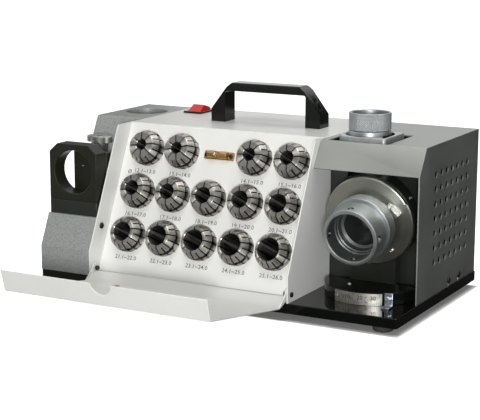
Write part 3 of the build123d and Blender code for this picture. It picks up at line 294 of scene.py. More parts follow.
def eased_copy(node, body, paint, ease, reshape=None):
    """A CAD node's own faces, merged, with its edges eased by a bevel of that width. Flat faces are joined and
    stay flat. Reshape may move the points first."""
    flat_angle, edge_angle = np.radians([0.2, 38])
    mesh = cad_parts[node].data.copy()
    mesh.name = node + "_skin"
    mesh.attributes.remove(mesh.attributes["custom_normal"])
    work = bmesh.new()
    work.from_mesh(mesh)
    bmesh.ops.remove_doubles(work, verts=work.verts, dist=2e-6)
    bmesh.ops.dissolve_limit(work, angle_limit=flat_angle, verts=work.verts, edges=work.edges)
    work.to_mesh(mesh)
    work.free()
    if reshape:
        mesh.vertices.foreach_set("co", reshape(mesh_points(mesh)).ravel())
    mesh.set_sharp_from_angle(angle=edge_angle)
    piece = set_on_body(node + "_skin", mesh, body, paint)
    bevel = piece.modifiers.new("eased_edges", "BEVEL")
    bevel.width = ease
    bevel.segments = 2
    bevel.limit_method = "ANGLE"
    bevel.angle_limit = edge_angle
    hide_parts(node)


def paint_node(node, paint):
    """A CAD node that keeps its own shape and takes a finish."""
    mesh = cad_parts[node].data
    mesh.materials.clear()
    mesh.materials.append(paint)


black_gloss = finish(
    "gloss_black_enamel", paint_skin, cell=700, rough=(0.05, 0.09),
    low=(0.002, 0.0025, 0.002), high=(0.005, 0.006, 0.005), bump=(0.12, 0.00003), IOR=1.33)
eased_copy("base_plate", "frame", black_gloss, ease=0.0007)
foot_rubber = finish(
    "foot_rubber", paint_skin, cell=1400, rough=(0.62, 0.80),
    low=(0.012, 0.012, 0.012), high=(0.03, 0.03, 0.028), bump=(0.4, 0.0001))
eased_copy("rubber_feet", "frame", foot_rubber, ease=0.0009)
# Metal skin for turned and ground pieces: rings of tool marks about the piece's own axis.
turned_skin, turned_in, turned_out = skin_group("turned_skin")
turned_split = add_node(turned_skin, "SeparateXYZ", [(0, turned_in["Place"])]).outputs
turned_flat = add_node(turned_skin, "CombineXYZ", [(0, turned_split[0]), (1, turned_split[1])]).outputs[0]
turned_radius = reckon(turned_skin, "LENGTH", turned_flat, kind="VectorMath", out="Value")
turned_place = add_node(turned_skin, "CombineXYZ", [(0, turned_radius), (1, turned_split[2])]).outputs[0]
turned_rings = cloud(turned_skin, turned_place, turned_in["Cell"], detail=3.0)
turned_cloud = cloud(turned_skin, turned_in["Place"], scale=45.0)
turned_half = reckon(turned_skin, "MULTIPLY", reckon(turned_skin, "ADD", turned_rings, turned_cloud), 0.5)
close_group(turned_skin, turned_in, turned_out, spread(turned_skin, turned_half, low=0.32, high=0.68), turned_half,
            turned_rings)
dark_steel = finish(
    "blackened_steel", turned_skin, cell=3000, rough=(0.30, 0.42),
    low=(0.045, 0.045, 0.047), high=(0.085, 0.085, 0.085), bump=(0.1, 0.00003), Metallic=1.0)
paint_node("foot_screws", dark_steel)

# White rack: bent steel sheet in white powder coat. Two walls carry the top, the slanted collet panel
# is welded between them, and a round screw head shows on the left wall's inner face.
white_coat = finish(
    "white_powder_coat", paint_skin, cell=1100, rough=(0.30, 0.44),
    low=(0.80, 0.805, 0.785), high=(0.855, 0.86, 0.84), bump=(0.10, 0.00006), Specular_IOR_Level=0.28)
eased_copy("rack_shell", "frame", white_coat, ease=0.0004)
paint_node("collet_panel", white_coat)


def new_piece(name, points, faces, body, slot_name, paint, places=None, crease=30, shade_map=None):
    """A mesh piece from an array of points and a list of faces, poles merged, faces outwards, on its body."""
    mesh = bpy.data.meshes.new(name)
    mesh.from_pydata(points.reshape(-1, 3).tolist(), [], faces)
    if places is not None:
        mesh.uv_layers.new(name="turning").uv.foreach_set("vector", places.ravel())
    # An optional point attribute of painted shade, by which the finish is darkened.
    if shade_map is not None:
        mesh.attributes.new("depth", "FLOAT", "POINT").data.foreach_set("value", shade_map.ravel())
    work = bmesh.new()
    work.from_mesh(mesh)
    bmesh.ops.remove_doubles(work, verts=work.verts, dist=1e-6)
    bmesh.ops.recalc_face_normals(work, faces=work.faces)
    work.to_mesh(mesh)
    work.free()
    mesh.polygons.foreach_set("use_smooth", np.ones(len(mesh.polygons), bool))
    mesh.set_sharp_from_angle(angle=math.radians(crease))
    return set_on_body(name, mesh, body, paint)


def upright(axis, across=(1, 0, 0)):
    """Three unit rows: across, the third direction and the axis, for a piece that stands along an axis."""
    axis = np.array(axis, float) / np.linalg.norm(axis)
    across = np.array(across, float) - axis * np.dot(across, axis)
    across = across / np.linalg.norm(across)
    return np.stack([across, np.cross(axis, across), axis])


def around(origin, axes, radius, height, angle):
    """Points at a radius, height and angle about an axis: origin + r cos a + r sin a + h along the axis."""
    parts = np.stack(np.broadcast_arrays(radius * np.cos(angle), radius * np.sin(angle), height), -1)
    return np.array(origin) + parts @ axes


def screw_heads(name, body, slot_name, paint, places, axis, radius, height, drive):
    """Domed screw heads: rings from the rim over the dome to a drive recess whose edge is a function of the
    angle, a hexagon (nearest side) or a cross (nearest arm), then its wall, its floor and the middle."""
    hexagon_half, arm_length, arm_half = 0.42, 0.55, 0.15
    angle = np.linspace(0, 2 * math.pi, 48, endpoint=False)[None, :]
    sixth = np.mod(angle, math.pi / 3) - math.pi / 6
    quarter = np.mod(angle + math.pi / 4, math.pi / 2) - math.pi / 4
    arms = np.minimum(arm_length / np.cos(quarter), arm_half / np.maximum(np.abs(np.sin(quarter)), 1e-3))
    edge = hexagon_half / np.cos(sixth) if drive == "hexagon" else arms
    ring = np.array([0, 1, 1, 0.94, 0.72])[:, None] + 0 * angle
    rise = np.array([-0.15, -0.15, 0.45, 0.75, 0.97])[:, None] + 0 * angle
    ring = np.concatenate([ring, edge * 1.04, edge, edge * 0.92, 0 * edge]) * radius
    rise = np.concatenate([rise, 1 + 0 * edge, 0.97 + 0 * edge, 0.4 + 0 * edge, 0.35 + 0 * edge]) * height
    axes = upright(axis, (0, 0, 1) if abs(axis[2]) < 0.7 else (1, 0, 0))
    heads = np.stack([around(place, axes, ring, rise, angle) for place in places])
    faces = grid_faces(ring.shape[0], ring.shape[1], loop_cols=True)
    stride = ring.size * np.arange(len(places))[:, None, None]
    new_piece(name, heads, (faces[None] + stride).reshape(-1, 4).tolist(), body, slot_name, paint)


wall_sheet = 0.0015
left_wall_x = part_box("rack_shell")[0].x + wall_sheet
rack_screw_place = (left_wall_x, plate_low.y + 0.0235, plate_high.z + 0.054)
screw_heads("rack_screw", "frame", "dark_steel", dark_steel, [rack_screw_place], (1, 0, 0), radius=0.0036,
            height=0.0022, drive="cross")

# Size labels: the drill range that each collet holds, on the panel's face below its place.
# They are printed through a screen in thin grey ink.
slant = math.radians(24.7)
panel_axis = (0, -math.cos(slant), math.sin(slant))
panel_up = np.array([0, math.sin(slant), math.cos(slant)])
label_drop, label_size, label_stretch, ink_thick = 0.0262, 0.0064, 1.04, 0.00002
label_ink = finish(
    "grey_ink", paint_skin, cell=1500, rough=(0.5, 0.6),
    low=(0.07, 0.075, 0.085), high=(0.12, 0.125, 0.14), bump=(0.1, 0.00002))


def axis_seat(node, axis):
    """Where a round CAD node stands: the middle of its extents across the axis, at its lower end, and its axes."""
    axes = upright(axis)
    spans = mesh_points(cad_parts[node].data) @ axes.T
    low, high = spans.min(0), spans.max(0)
    seat = np.array([(low[0] + high[0]) / 2, (low[1] + high[1]) / 2, low[2]])
    return seat @ axes, axes


def lettering(name, lines, size, thick, place_line, body, slot_name, paint):
    """Several lines of text in one piece. Each is made a mesh, centred in its own first two directions, and its
    flat points are carried to their place by a function."""
    points, faces, start = [], [], 0
    for index, words in enumerate(lines):
        curve = bpy.data.curves.new("lettering", "FONT")
        curve.body = words
        curve.size = size
        curve.align_x, curve.align_y = "CENTER", "CENTER"
        curve.extrude = thick
        curve.space_character = 1.06
        curve.offset = size * 0.006
        curve.resolution_u = 3
        holder = bpy.data.objects.new("lettering", curve)
        mesh = bpy.data.meshes.new_from_object(holder)
        points.append(place_line(index, mesh_points(mesh)))
        faces += [[start + corner for corner in face.vertices] for face in mesh.polygons]
        start += len(mesh.vertices)
        bpy.data.objects.remove(holder)
        bpy.data.curves.remove(curve)
        bpy.data.meshes.remove(mesh)
    new_piece(name, np.concatenate(points), faces, body, slot_name, paint)


collet_bores = list(range(13, 27))
panel_face = np.max(mesh_points(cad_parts["collet_panel"].data) @ np.array(panel_axis))


def on_panel(index, flat):
    """A label's flat points, laid on the panel's face below the collet of that number."""
    seat, axes = axis_seat(f"collet_{collet_bores[index]}", panel_axis)
    middle = seat + axes[2] * (panel_face - seat @ axes[2]) - panel_up * label_drop
    lifted = (flat[:, 2:] + 1.5 * ink_thick) * axes[2]
    return middle + flat[:, :1] * axes[0] * label_stretch + flat[:, 1:2] * panel_up + lifted


mark_offset = np.array([-0.0198, 0, 0]) - panel_up * 0.0020
lettering("size_labels", [f"{bore - 0.9:.1f}~{bore:.1f}" for bore in collet_bores], label_size, ink_thick,
          on_panel, "frame", "dark_steel", label_ink)
lettering("diameter_mark", ["\u00d8"], label_size, ink_thick,
          lambda index, flat: on_panel(index, flat) + mark_offset, "frame", "dark_steel", label_ink)

# Collets: hardened spring collets, turned and ground. Eight saw cuts run from the front through the bore,
# and eight more come up from behind and end just under the front face. Each stands in its hole in the panel.
cut_width = 0.0015
collet_turns = np.radians([9, 14, 4, 11, 17, 8, 2, 13, 6, 18, 10, 3, 15, 7])


def lay_colour_by_mask(paint, mask, colour):
    """Lays a second colour over a material's own by a mask."""
    tree = paint.node_tree
    base = tree.nodes["Principled BSDF"].inputs["Base Color"]
    mixed = add_node(tree, "Mix", [(0, mask), (6, base.links[0].from_socket), (7, (*colour, 1))], data_type="RGBA")
    tree.links.new(mixed.outputs[2], base)
    return paint


def painted_shade_by_depth(steel):
    """Darkens a metal towards black by the piece's own depth attribute, a painted shade in its cuts, bores and
    recesses.
    """
    shade_mask = add_node(steel.node_tree, "Attribute", attribute_name="depth").outputs["Fac"]
    return lay_colour_by_mask(steel, shade_mask, (0.008, 0.008, 0.007))


def axis_steel(name, node, axis, cell, rough, low, high, sheen, bump=(0.06, 0.00003)):
    """Turned metal whose rings lie about the node's own axis, with a sheen stretched along its turning map."""
    seat, axes = axis_seat(node, axis)
    turn = (math.atan2(-axes[2][1], axes[2][2]), 0, 0)
    steel = finish(name, turned_skin, cell, rough, low, high, bump, (tuple(seat), turn), Metallic=1.0,
                   Anisotropic=sheen)
    tangent = add_node(steel.node_tree, "Tangent", direction_type="UV_MAP", uv_map="turning")
    steel.node_tree.links.new(tangent.outputs[0], steel.node_tree.nodes["Principled BSDF"].inputs["Tangent"])
    return steel


def even_bore(steel, start):
    """One roughness from the place on the turning map where a collet's bore begins."""
    bore_rough, fade = 0.28, 0.002
    tree = steel.node_tree
    rough = tree.nodes["Principled BSDF"].inputs["Roughness"]
    along = add_node(tree, "SeparateXYZ", [(0, add_node(tree, "UVMap", uv_map="turning").outputs[0])]).outputs[0]
    even = add_node(tree, "Mix", [
        (0, spread(tree, along, start, start + fade)), (2, rough.links[0].from_socket), (3, bore_rough)])
    tree.links.new(even.outputs[0], rough)
    return steel


def turning_places(angle, along):
    """Corner places for a grid that is a loop both ways: along the outline, then round it."""
    rows, cols = angle.shape
    round_way = np.concatenate([angle, angle[:1] + 2 * math.pi]) / (2 * math.pi)
    i, j = np.arange(rows)[:, None], np.arange(cols)[None, :]
    corners = [(i, j), (i + 1, j), (i + 1, j + 1), (i, j + 1)]
    places = [np.stack(np.broadcast_arrays(along[b], round_way[a, b % cols]), -1) for a, b in corners]
    return np.stack(places, -2).reshape(-1, 4, 2)


def closed_run(outline):
    """The distance along a closed outline to each of its points and back to the first."""
    steps = np.diff(np.r_[outline, outline[:1]], axis=0)
    return np.cumsum(np.r_[0, np.linalg.norm(steps, axis=1)])


map_scale = 20


def turned_round(name, node, axis, body, slot_name, paint, radius, height, angle, run, shade_map=None, crease=30):
    """A piece that stands where a round CAD node stands: radius, height and angle arrays that are a loop of columns
    round the axis and a closed outline along each column, with the run along that outline and its painted shade."""
    seat, axes = axis_seat(node, axis)
    faces = grid_faces(*angle.shape, loop_rows=True, loop_cols=True).tolist()
    piece = new_piece(name, around(seat, axes, radius, height, angle), faces, body, slot_name, paint,
                      turning_places(angle, run * map_scale), crease, shade_map)
    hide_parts(node)


def collet_points(bore, turn):
    """A collet as radius, height and angle arrays over a loop of columns. A rib column follows the turned
    outline. In a front cut the outline drops to the cut's floor, and in a rear cut it sinks towards the bore.
    A column at a cut's side stands at the angle asin(half width / radius), so that the cut has flat sides."""
    cut_floor, rear_sink, collet_bore_shade = 0.0350, 0.3, 0.45
    rib = np.array([
        (bore, 0), (0.01585, 0), (0.02040, 0.0325), (0.0202, 0.0343), (0.0172, 0.0345), (0.0172, 0.0382),
        (0.0190, 0.0382), (0.0193, 0.0385), (0.0193, 0.0391), (0.0191, 0.0397), (0.0155, 0.0463),
        (0.0153, 0.0466), (0.0150, 0.0471), (0.0146, 0.0475), (bore + 0.0005, 0.0475), (bore, 0.0470),
        (bore, 0.0349)])
    front = rib.copy()
    front[5:16, 0] = np.r_[0.0172, np.linspace(0.0170, bore + 0.0002, 10)]
    front[5:16, 1] = cut_floor
    front[16, 1] = cut_floor - 0.0005
    rear = rib.copy()
    rear[1:11, 0] = bore + (rib[1:11, 0] - bore) * rear_sink
    # Painted shade: the groove under the cone and the bore are darkened, and the cut columns are painted nearly
    # black where they are cut.
    rib_shade = np.zeros(len(rib))
    rib_shade[4:6] = 1
    rib_shade[[0, 16]] = collet_bore_shade
    depth = np.stack([rib_shade, rib_shade * 0 + 1, rib_shade * 0 + 1])
    depth[2, 11:16] = 0
    kinds = np.array([1, 1, 0, 0, 0, 0, 2, 2, 0, 0, 0, 0])
    share = np.array([0, 0, 0, 1 / 3, 2 / 3, 1, 0, 0, 0, 1 / 3, 2 / 3, 1])
    sector = np.array([0, 0, 0, 0, 0, 0, 1, 1, 1, 1, 1, 1]) * math.pi / 8
    side = np.array([-1, 1, 0, 0, 0, 0, -1, 1, 0, 0, 0, 0])
    shape = np.stack([rib, front, rear])[kinds]
    half = np.arcsin(cut_width / 2 / shape[..., 0])
    inside = sector[:, None] + side[:, None] * half
    between = sector[:, None] + half + share[:, None] * (math.pi / 8 - 2 * half)
    angle = np.where(side[:, None] != 0, inside, between)
    angle = (angle[None] + np.arange(8)[:, None, None] * math.pi / 4).reshape(-1, len(rib)) + turn
    radius, height = np.tile(shape[..., 0], (8, 1)), np.tile(shape[..., 1], (8, 1))
    return radius, height, angle, closed_run(rib), np.tile(depth[kinds], (8, 1))


for bore, turn in zip(collet_bores, collet_turns):
    node = f"collet_{bore}"
    radius, height, angle, run, collet_shade = collet_points(bore / 2000, turn)
    collet_steel = painted_shade_by_depth(axis_steel(
        "ground_steel", node, panel_axis, cell=900, rough=(0.26, 0.32), low=(0.38, 0.365, 0.335),
        high=(0.50, 0.485, 0.455), sheen=0.96, bump=(0.02, 0.00002)))
    turned_round(f"{node}_ground", node, panel_axis, "frame", "ground_steel",
                 even_bore(collet_steel, run[15] * map_scale), radius, height, angle, run, collet_shade, crease=24)

# Ball catch: a brass plate with two turned barrels, held to the panel by a dark screw at each end.
# Two steel balls look out of the barrels and grip the lid's strike.
brass = finish(
    "polished_brass", turned_skin, cell=1600, rough=(0.32, 0.46),
    low=(0.42, 0.27, 0.10), high=(0.60, 0.41, 0.17), bump=(0.08, 0.00003), Metallic=1.0)
eased_copy("ball_catch", "frame", brass, ease=0.0003)
bright_steel = finish(
    "bright_steel", turned_skin, cell=2400, rough=(0.30, 0.40),
    low=(0.42, 0.42, 0.42), high=(0.56, 0.56, 0.55), bump=(0.05, 0.00003), Metallic=1.0)
paint_node("catch_balls", bright_steel)
catch_plate, catch_reach = 0.0022, 0.0157
catch_axes = upright(panel_axis)
catch_points = mesh_points(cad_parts["ball_catch"].data) @ catch_axes.T
catch_mid = (catch_points.min(0) + catch_points.max(0)) / 2
catch_mid[2] = panel_face + catch_plate
screw_heads("catch_screws", "frame", "dark_steel", dark_steel,
            [(catch_mid + (way * catch_reach, 0, 0)) @ catch_axes for way in (-1, 1)], panel_axis, radius=0.0027,
            height=0.0016, drive="cross")

# Handle: a moulded bridge of glossy black plastic with rounded edges.
# A screw in a pocket in each leg bolts it through the top.
black_plastic = finish(
    "moulded_black_plastic", paint_skin, cell=1600, rough=(0.14, 0.22),
    low=(0.004, 0.005, 0.004), high=(0.009, 0.011, 0.009), bump=(0.10, 0.00004), IOR=1.38)
eased_copy("carry_handle", "frame", black_plastic, ease=0.0011)
paint_node("handle_screws", dark_steel)

# Switch: a black plastic bezel, clipped into the top.
# The red moulded rocker in it has sides that lean in to the ridge.
eased_copy("switch_bezel", "frame", black_plastic, ease=0.0005)
red_plastic = finish(
    "gloss_red_plastic", paint_skin, cell=1500, rough=(0.14, 0.22),
    low=(0.52, 0.012, 0.010), high=(0.66, 0.022, 0.016), bump=(0.06, 0.00003), IOR=1.5)
rocker_low, rocker_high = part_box("switch_rocker")
rocker_mid = (rocker_low.x + rocker_high.x) / 2
bezel_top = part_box("switch_bezel")[1].z
rocker_lean = 0.16


def lean_in(points):
    """The rocker's sides drawn in towards its middle in proportion to the height above the bezel."""
    rise = np.clip((points[:, 2] - bezel_top) / (rocker_high.z - bezel_top), 0, 1)
    points[:, 0] = rocker_mid + (points[:, 0] - rocker_mid) * (1 - rocker_lean * rise)
    return points


eased_copy("switch_rocker", "rocker", red_plastic, ease=0.0006, reshape=lean_in)

# Left housing: an aluminium casting in hammered grey paint, with the chuck rest bored in its rear top.
# The paint pulls into small shiny cells, lighter on their crowns.
hammer_skin, hammer_in, hammer_out = skin_group("hammer_skin")
hammer_cells = add_node(hammer_skin, "TexVoronoi", [
    ("Vector", hammer_in["Place"]), ("Scale", hammer_in["Cell"]), ("Smoothness", 0.7)], feature="SMOOTH_F1")
hammer_crown = spread(hammer_skin, hammer_cells.outputs["Distance"], low=0.1, high=0.7, start=1.0, stop=0.0)
hammer_speck = cloud(hammer_skin, hammer_in["Place"], scale=1500.0)
hammer_tone = reckon(hammer_skin, "MULTIPLY_ADD", hammer_crown, 0.6, hammer_speck)
close_group(hammer_skin, hammer_in, hammer_out, spread(hammer_skin, hammer_tone, low=0.35, high=1.2), hammer_speck,
            hammer_crown)
hammer_grey = finish(
    "hammered_grey_paint", hammer_skin, cell=600, rough=(0.32, 0.48),
    low=(0.245, 0.26, 0.25), high=(0.41, 0.43, 0.42), bump=(0.25, 0.00012), Metallic=0.15)
eased_copy("left_housing", "frame", hammer_grey, ease=0.0007)

# Setting gauge: a satin black foot on the housing's shelf carries a blackened bracket with a large hole
# and the block with the stop pin. A cast lever knob on the block's stud locks the stop.
black_satin = finish(
    "satin_black_paint", paint_skin, cell=900, rough=(0.34, 0.48),
    low=(0.012, 0.014, 0.012), high=(0.026, 0.028, 0.024), bump=(0.15, 0.00005), IOR=1.4)
eased_copy("gauge_base", "frame", black_satin, ease=0.0006)
black_oxide = finish(
    "black_oxide_steel", paint_skin, cell=600, rough=(0.30, 0.44),
    low=(0.009, 0.0105, 0.006), high=(0.019, 0.021, 0.013), bump=(0.10, 0.00004), IOR=1.33)
eased_copy("gauge_bracket", "frame", black_oxide, ease=0.0006)
eased_copy("gauge_body", "frame", black_oxide, ease=0.0006)
paint_node("gauge_pin", bright_steel)
cast_skin, cast_in, cast_out = skin_group("cast_skin")
cast_grain = cloud(cast_skin, cast_in["Place"], cast_in["Cell"], detail=6.0, roughness=0.7)
cast_pits = cloud(cast_skin, cast_in["Place"], scale=120.0, detail=3.0)
cast_sum = reckon(cast_skin, "ADD", cast_grain, cast_pits)
close_group(cast_skin, cast_in, cast_out, spread(cast_skin, cast_sum, low=0.7, high=1.3), cast_grain, cast_grain)
cast_alu = finish(
    "cast_aluminium", cast_skin, cell=700, rough=(0.42, 0.60),
    low=(0.20, 0.20, 0.185), high=(0.38, 0.38, 0.355), bump=(0.5, 0.0002), Metallic=0.85)
eased_copy("gauge_knob", "knob", cast_alu, ease=0.0009)

# Motor, shaft, wheel and fan: a small induction motor in a cast cradle turns a coated dish wheel.
# They stand behind the guard and show only through the ports and vents.
for node, paint in (
    ("motor_body", black_satin), ("motor_bearings", bright_steel), ("motor_cradle", cast_alu),
    ("motor_shaft", bright_steel), ("wheel_nut", dark_steel), ("cooling_fan", black_plastic),
):
    paint_node(node, paint)
wheel_grit = finish(
    "wheel_grit", cast_skin, cell=2600, rough=(0.6, 0.8),
    low=(0.06, 0.06, 0.055), high=(0.16, 0.155, 0.14), bump=(0.8, 0.0002))
paint_node("grinding_wheel", wheel_grit)

# Wheel guard: steel sheet, folded across the station and painted black.
# A round window in it is open in front of the wheel.
guard_black = finish(
    "guard_black_paint", paint_skin, cell=900, rough=(0.26, 0.38),
    low=(0.011, 0.0135, 0.010), high=(0.020, 0.023, 0.018), bump=(0.15, 0.00005))
paint_node("wheel_guard", guard_black)

# Top port: a cast boss screwed down on the guard's flange, a polished ring, and a diamond-knurled
# aluminium collar that turns by hand in the boss.
boss_alu = finish(
    "blasted_boss_alu", cast_skin, cell=900, rough=(0.46, 0.58),
    low=(0.36, 0.38, 0.38), high=(0.52, 0.545, 0.545), bump=(0.4, 0.00012), Metallic=0.9)
eased_copy("port_boss", "frame", boss_alu, ease=0.0006)


def soften(corners, bite, closed=True):
    """An outline with rounded corners: at each, a quadratic curve from a bite before it to a bite after it, the
    bite being at most a share of the side."""
    share, steps = 0.4, 3
    corners = np.array(corners, float)
    before, after = np.roll(corners, 1, 0), np.roll(corners, -1, 0)
    gap_before = np.linalg.norm(before - corners, axis=1, keepdims=True)
    gap_after = np.linalg.norm(after - corners, axis=1, keepdims=True)
    start = corners + (before - corners) / gap_before * np.minimum(bite, share * gap_before)
    stop = corners + (after - corners) / gap_after * np.minimum(bite, share * gap_after)
    t = np.linspace(0, 1, steps + 1)[None, :, None]
    curves = (1 - t) ** 2 * start[:, None] + 2 * t * (1 - t) * corners[:, None] + t**2 * stop[:, None]
    if closed:
        return curves.reshape(-1, 2)
    return np.concatenate([corners[:1], curves[1:-1].reshape(-1, 2), corners[-1:]])


def full_circle(columns, rows):
    """Angles of evenly spaced columns round an axis, the same all along each column."""
    return np.linspace(0, 2 * math.pi, columns, endpoint=False)[:, None] + np.zeros((1, rows))


ring_steel = axis_steel(
    "polished_ring_steel", "port_ring", (0, 0, 1), cell=1800, rough=(0.44, 0.52), low=(0.34, 0.36, 0.36),
    high=(0.45, 0.47, 0.47), sheen=0.4)
# The ring: a rounded outline of radius and height, turned.
ring_outline = soften([
    (0.02195, 0), (0.0232, 0), (0.0234, 0.004), (0.0232, 0.0078), (0.0226, 0.0083), (0.02195, 0.0083)], bite=0.0009)
turned_round("port_ring_polished", "port_ring", (0, 0, 1), "frame", "turned_steel", ring_steel,
             ring_outline[None, :, 0], ring_outline[None, :, 1], full_circle(96, len(ring_outline)),
             closed_run(ring_outline))
collar_alu = axis_steel(
    "satin_collar_alu", "knurled_collar", (0, 0, 1), cell=1500, rough=(0.44, 0.54), low=(0.35, 0.375, 0.385),
    high=(0.46, 0.485, 0.495), sheen=0.2)


def knurled_tube():
    """The collar as radius, height and angle arrays, with the run along its outline: a turned outline whose outer
    wall carries a diamond knurl, the larger of two families of slanting ridges, each a triangle wave of the angle
    plus or minus the height."""
    bore, wall_radius, low_edge, high_edge, ridge, turns = 0.0203, 0.02325, 0.0172, 0.0347, 0.00090, 64
    wall = np.linspace(low_edge, high_edge, 48)
    foot = [(bore, 0), (0.0219, 0), (0.0219, low_edge - 0.0012), (0.0222, low_edge - 0.0011),
            (0.0230, low_edge - 0.0002)]
    rim = [(0.0230, high_edge + 0.0003), (0.0226, high_edge + 0.0008), (0.0211, high_edge + 0.0008),
           (bore, high_edge + 0.0001), (bore, high_edge)]
    outline = np.concatenate([
        soften(foot, 0.0003, closed=False), np.stack([0 * wall + wall_radius, wall], -1),
        soften(rim, 0.0003, closed=False)])
    angle = full_circle(360, len(outline))
    height = outline[None, :, 1] + 0 * angle
    round_way, climb = angle / (2 * math.pi) * turns, height / (2 * math.pi * wall_radius / turns)
    first = np.abs(np.mod(round_way + climb, 1) - 0.5) * 2
    second = np.abs(np.mod(round_way - climb, 1) - 0.5) * 2
    on_wall = (outline[:, 0] == wall_radius)[None, :]
    radius = outline[None, :, 0] - np.where(on_wall, ridge * np.maximum(first, second) ** 2, 0)
    return radius, height, angle, np.linspace(0, 1, len(outline) + 1) / map_scale


turned_round("knurled_collar_turned", "knurled_collar", (0, 0, 1), "collar", "satin_alu", collar_alu,
             *knurled_tube(), crease=50)
boss_low, boss_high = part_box("port_boss")
boss_mid = (Vector(boss_low) + Vector(boss_high)) / 2
boss_reach, boss_back = 0.0325, 0.004
screw_heads("boss_screws", "frame", "ground_steel", bright_steel,
            [(boss_mid.x + way * boss_reach, boss_mid.y + boss_back, boss_low.z) for way in (-1, 1)], (0, 0, 1),
            radius=0.0018, height=0.0015, drive="hexagon")

# Right cover: one bent steel sheet in grey metallic paint, drilled with seven rows of vents. Its lower edge
# hangs on two button screws in open slots, over a zinc-plated clip on the base plate.


def metallic_grey(name):
    """Grey paint with metal flakes, sprayed over a primer."""
    return finish(
        name, paint_skin, cell=1100, rough=(0.48, 0.58), low=(0.29, 0.305, 0.287), high=(0.34, 0.355, 0.336),
        bump=(0.12, 0.00006), Metallic=0.9)


grey_coat = metallic_grey("grey_metallic_coat")
eased_copy("right_cover", "frame", grey_coat, ease=0.0002)
zinc = finish(
    "bluish_zinc_plate", turned_skin, cell=500, rough=(0.24, 0.38),
    low=(0.42, 0.46, 0.52), high=(0.58, 0.63, 0.70), bump=(0.06, 0.00003), Metallic=1.0)
eased_copy("cover_clip", "frame", zinc, ease=0.0004)
eased_copy("cover_screws", "frame", dark_steel, ease=0.0008)

# Swivel drum and scale: a black enamelled half drum turns on a pin in the base plate. A silver strip round
# its front is engraved with the point angle, and a zinc tab on the plate marks the reading.
paint_node("swivel_pin", bright_steel)
eased_copy("swivel_drum", "swivel", black_gloss, ease=0.0006)
scuff_skin, scuff_in, scuff_out = skin_group("scuff_skin")
scuffs = cloud(scuff_skin, scuff_in["Place"], scuff_in["Cell"], detail=5.0, roughness=0.7)
close_group(scuff_skin, scuff_in, scuff_out, spread(scuff_skin, scuffs, low=0.30, high=0.46), scuffs, scuffs)
scale_silver = finish(
    "scuffed_silver", scuff_skin, cell=240, rough=(0.30, 0.44),
    low=(0.16, 0.15, 0.13), high=(0.56, 0.55, 0.50), bump=(0.05, 0.00003), Metallic=1.0)
paint_node("angle_scale", scale_silver)
drum_axis, drum_axes = axis_seat("swivel_pin", (0, 0, 1))
scale_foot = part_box("angle_scale")[0].z
scale_radius = 0.05500
scale_mark = finish(
    "engraved_black", paint_skin, cell=1500, rough=(0.5, 0.6),
    low=(0.02, 0.018, 0.015), high=(0.05, 0.045, 0.04), bump=(0.1, 0.00002))


def round_drum(bearing, rise, out):
    """Points on the scale's face: a bearing from straight ahead, a height above the strip's foot, a stand-off."""
    place = around(drum_axis, drum_axes, scale_radius + out, 0 * bearing, bearing - math.pi / 2)
    return np.stack([place[..., 0], place[..., 1], scale_foot + rise], -1)


def scale_ticks():
    """Graduations: one thin upright sliver for each two degrees, longer at the tens, one grid of four by two
    points each, all worked out at once."""
    half_width, long_tick, short_tick, proud, sunk, start = 0.00016, 0.0046, 0.0028, 0.00003, -0.0001, 0.0004
    degrees = np.arange(-18, 31, 2)[:, None, None]
    tall = np.where(degrees % 10 == 0, long_tick, short_tick)
    side = np.array([-1, 1, 1, -1])[None, :, None]
    end = np.array([0, 1])[None, None, :]
    bearing = np.radians(degrees) + side * half_width / scale_radius + 0 * end
    out = np.array([proud, proud, sunk, sunk])[None, :, None] + 0 * bearing
    points = round_drum(bearing, start + end * tall + 0 * side, out)
    caps = np.array([[0, 2, 4, 6], [7, 5, 3, 1]])
    faces = np.concatenate([grid_faces(4, 2, loop_rows=True), caps])
    stride = 8 * np.arange(len(degrees))[:, None, None]
    return points, (faces[None] + stride).reshape(-1, 4).tolist()


new_piece("scale_ticks", *scale_ticks(), "swivel", "dark_steel", scale_mark)
number_size, number_thick, number_rise, number_out = 0.0062, 0.00003, 0.0078, 0.00002
number_bearings = np.radians([-8, 7, 22])


def on_scale(index, flat):
    """A number's flat points, bent round the scale's face at its bearing."""
    bearing = number_bearings[index] + flat[:, 0] / scale_radius
    return round_drum(bearing, number_rise + flat[:, 1], flat[:, 2] + number_out)


lettering("scale_numbers", ["10", "20", "30"], number_size, number_thick, on_scale, "swivel", "dark_steel",
          scale_mark)
screw_bearing, screw_rise = np.radians(-22.5), 0.0065
screw_heads("scale_screw", "swivel", "ground_steel", bright_steel, [round_drum(screw_bearing, screw_rise, 0.0)],
            (np.sin(screw_bearing), -np.cos(screw_bearing), 0), radius=0.0013, height=0.0007, drive="cross")
drum_screw_place = (0.1417, plate_low.y + 0.061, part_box("swivel_drum")[1].z)
screw_heads("drum_screw", "swivel", "ground_steel", bright_steel, [drum_screw_place], (0, 0, 1), radius=0.0022,
            height=0.0014, drive="hexagon")
eased_copy("index_tab", "frame", zinc, ease=0.0004)
tab_low, tab_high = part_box("index_tab")
tab_screw_place = ((tab_low.x + tab_high.x) / 2 - 0.0005, tab_high.y - 0.002, tab_low.z + 0.0088)
screw_heads("tab_screw", "frame", "zinc", zinc, [tab_screw_place], (0, -1, 0), radius=0.0030, height=0.0024,
            drive="cross")

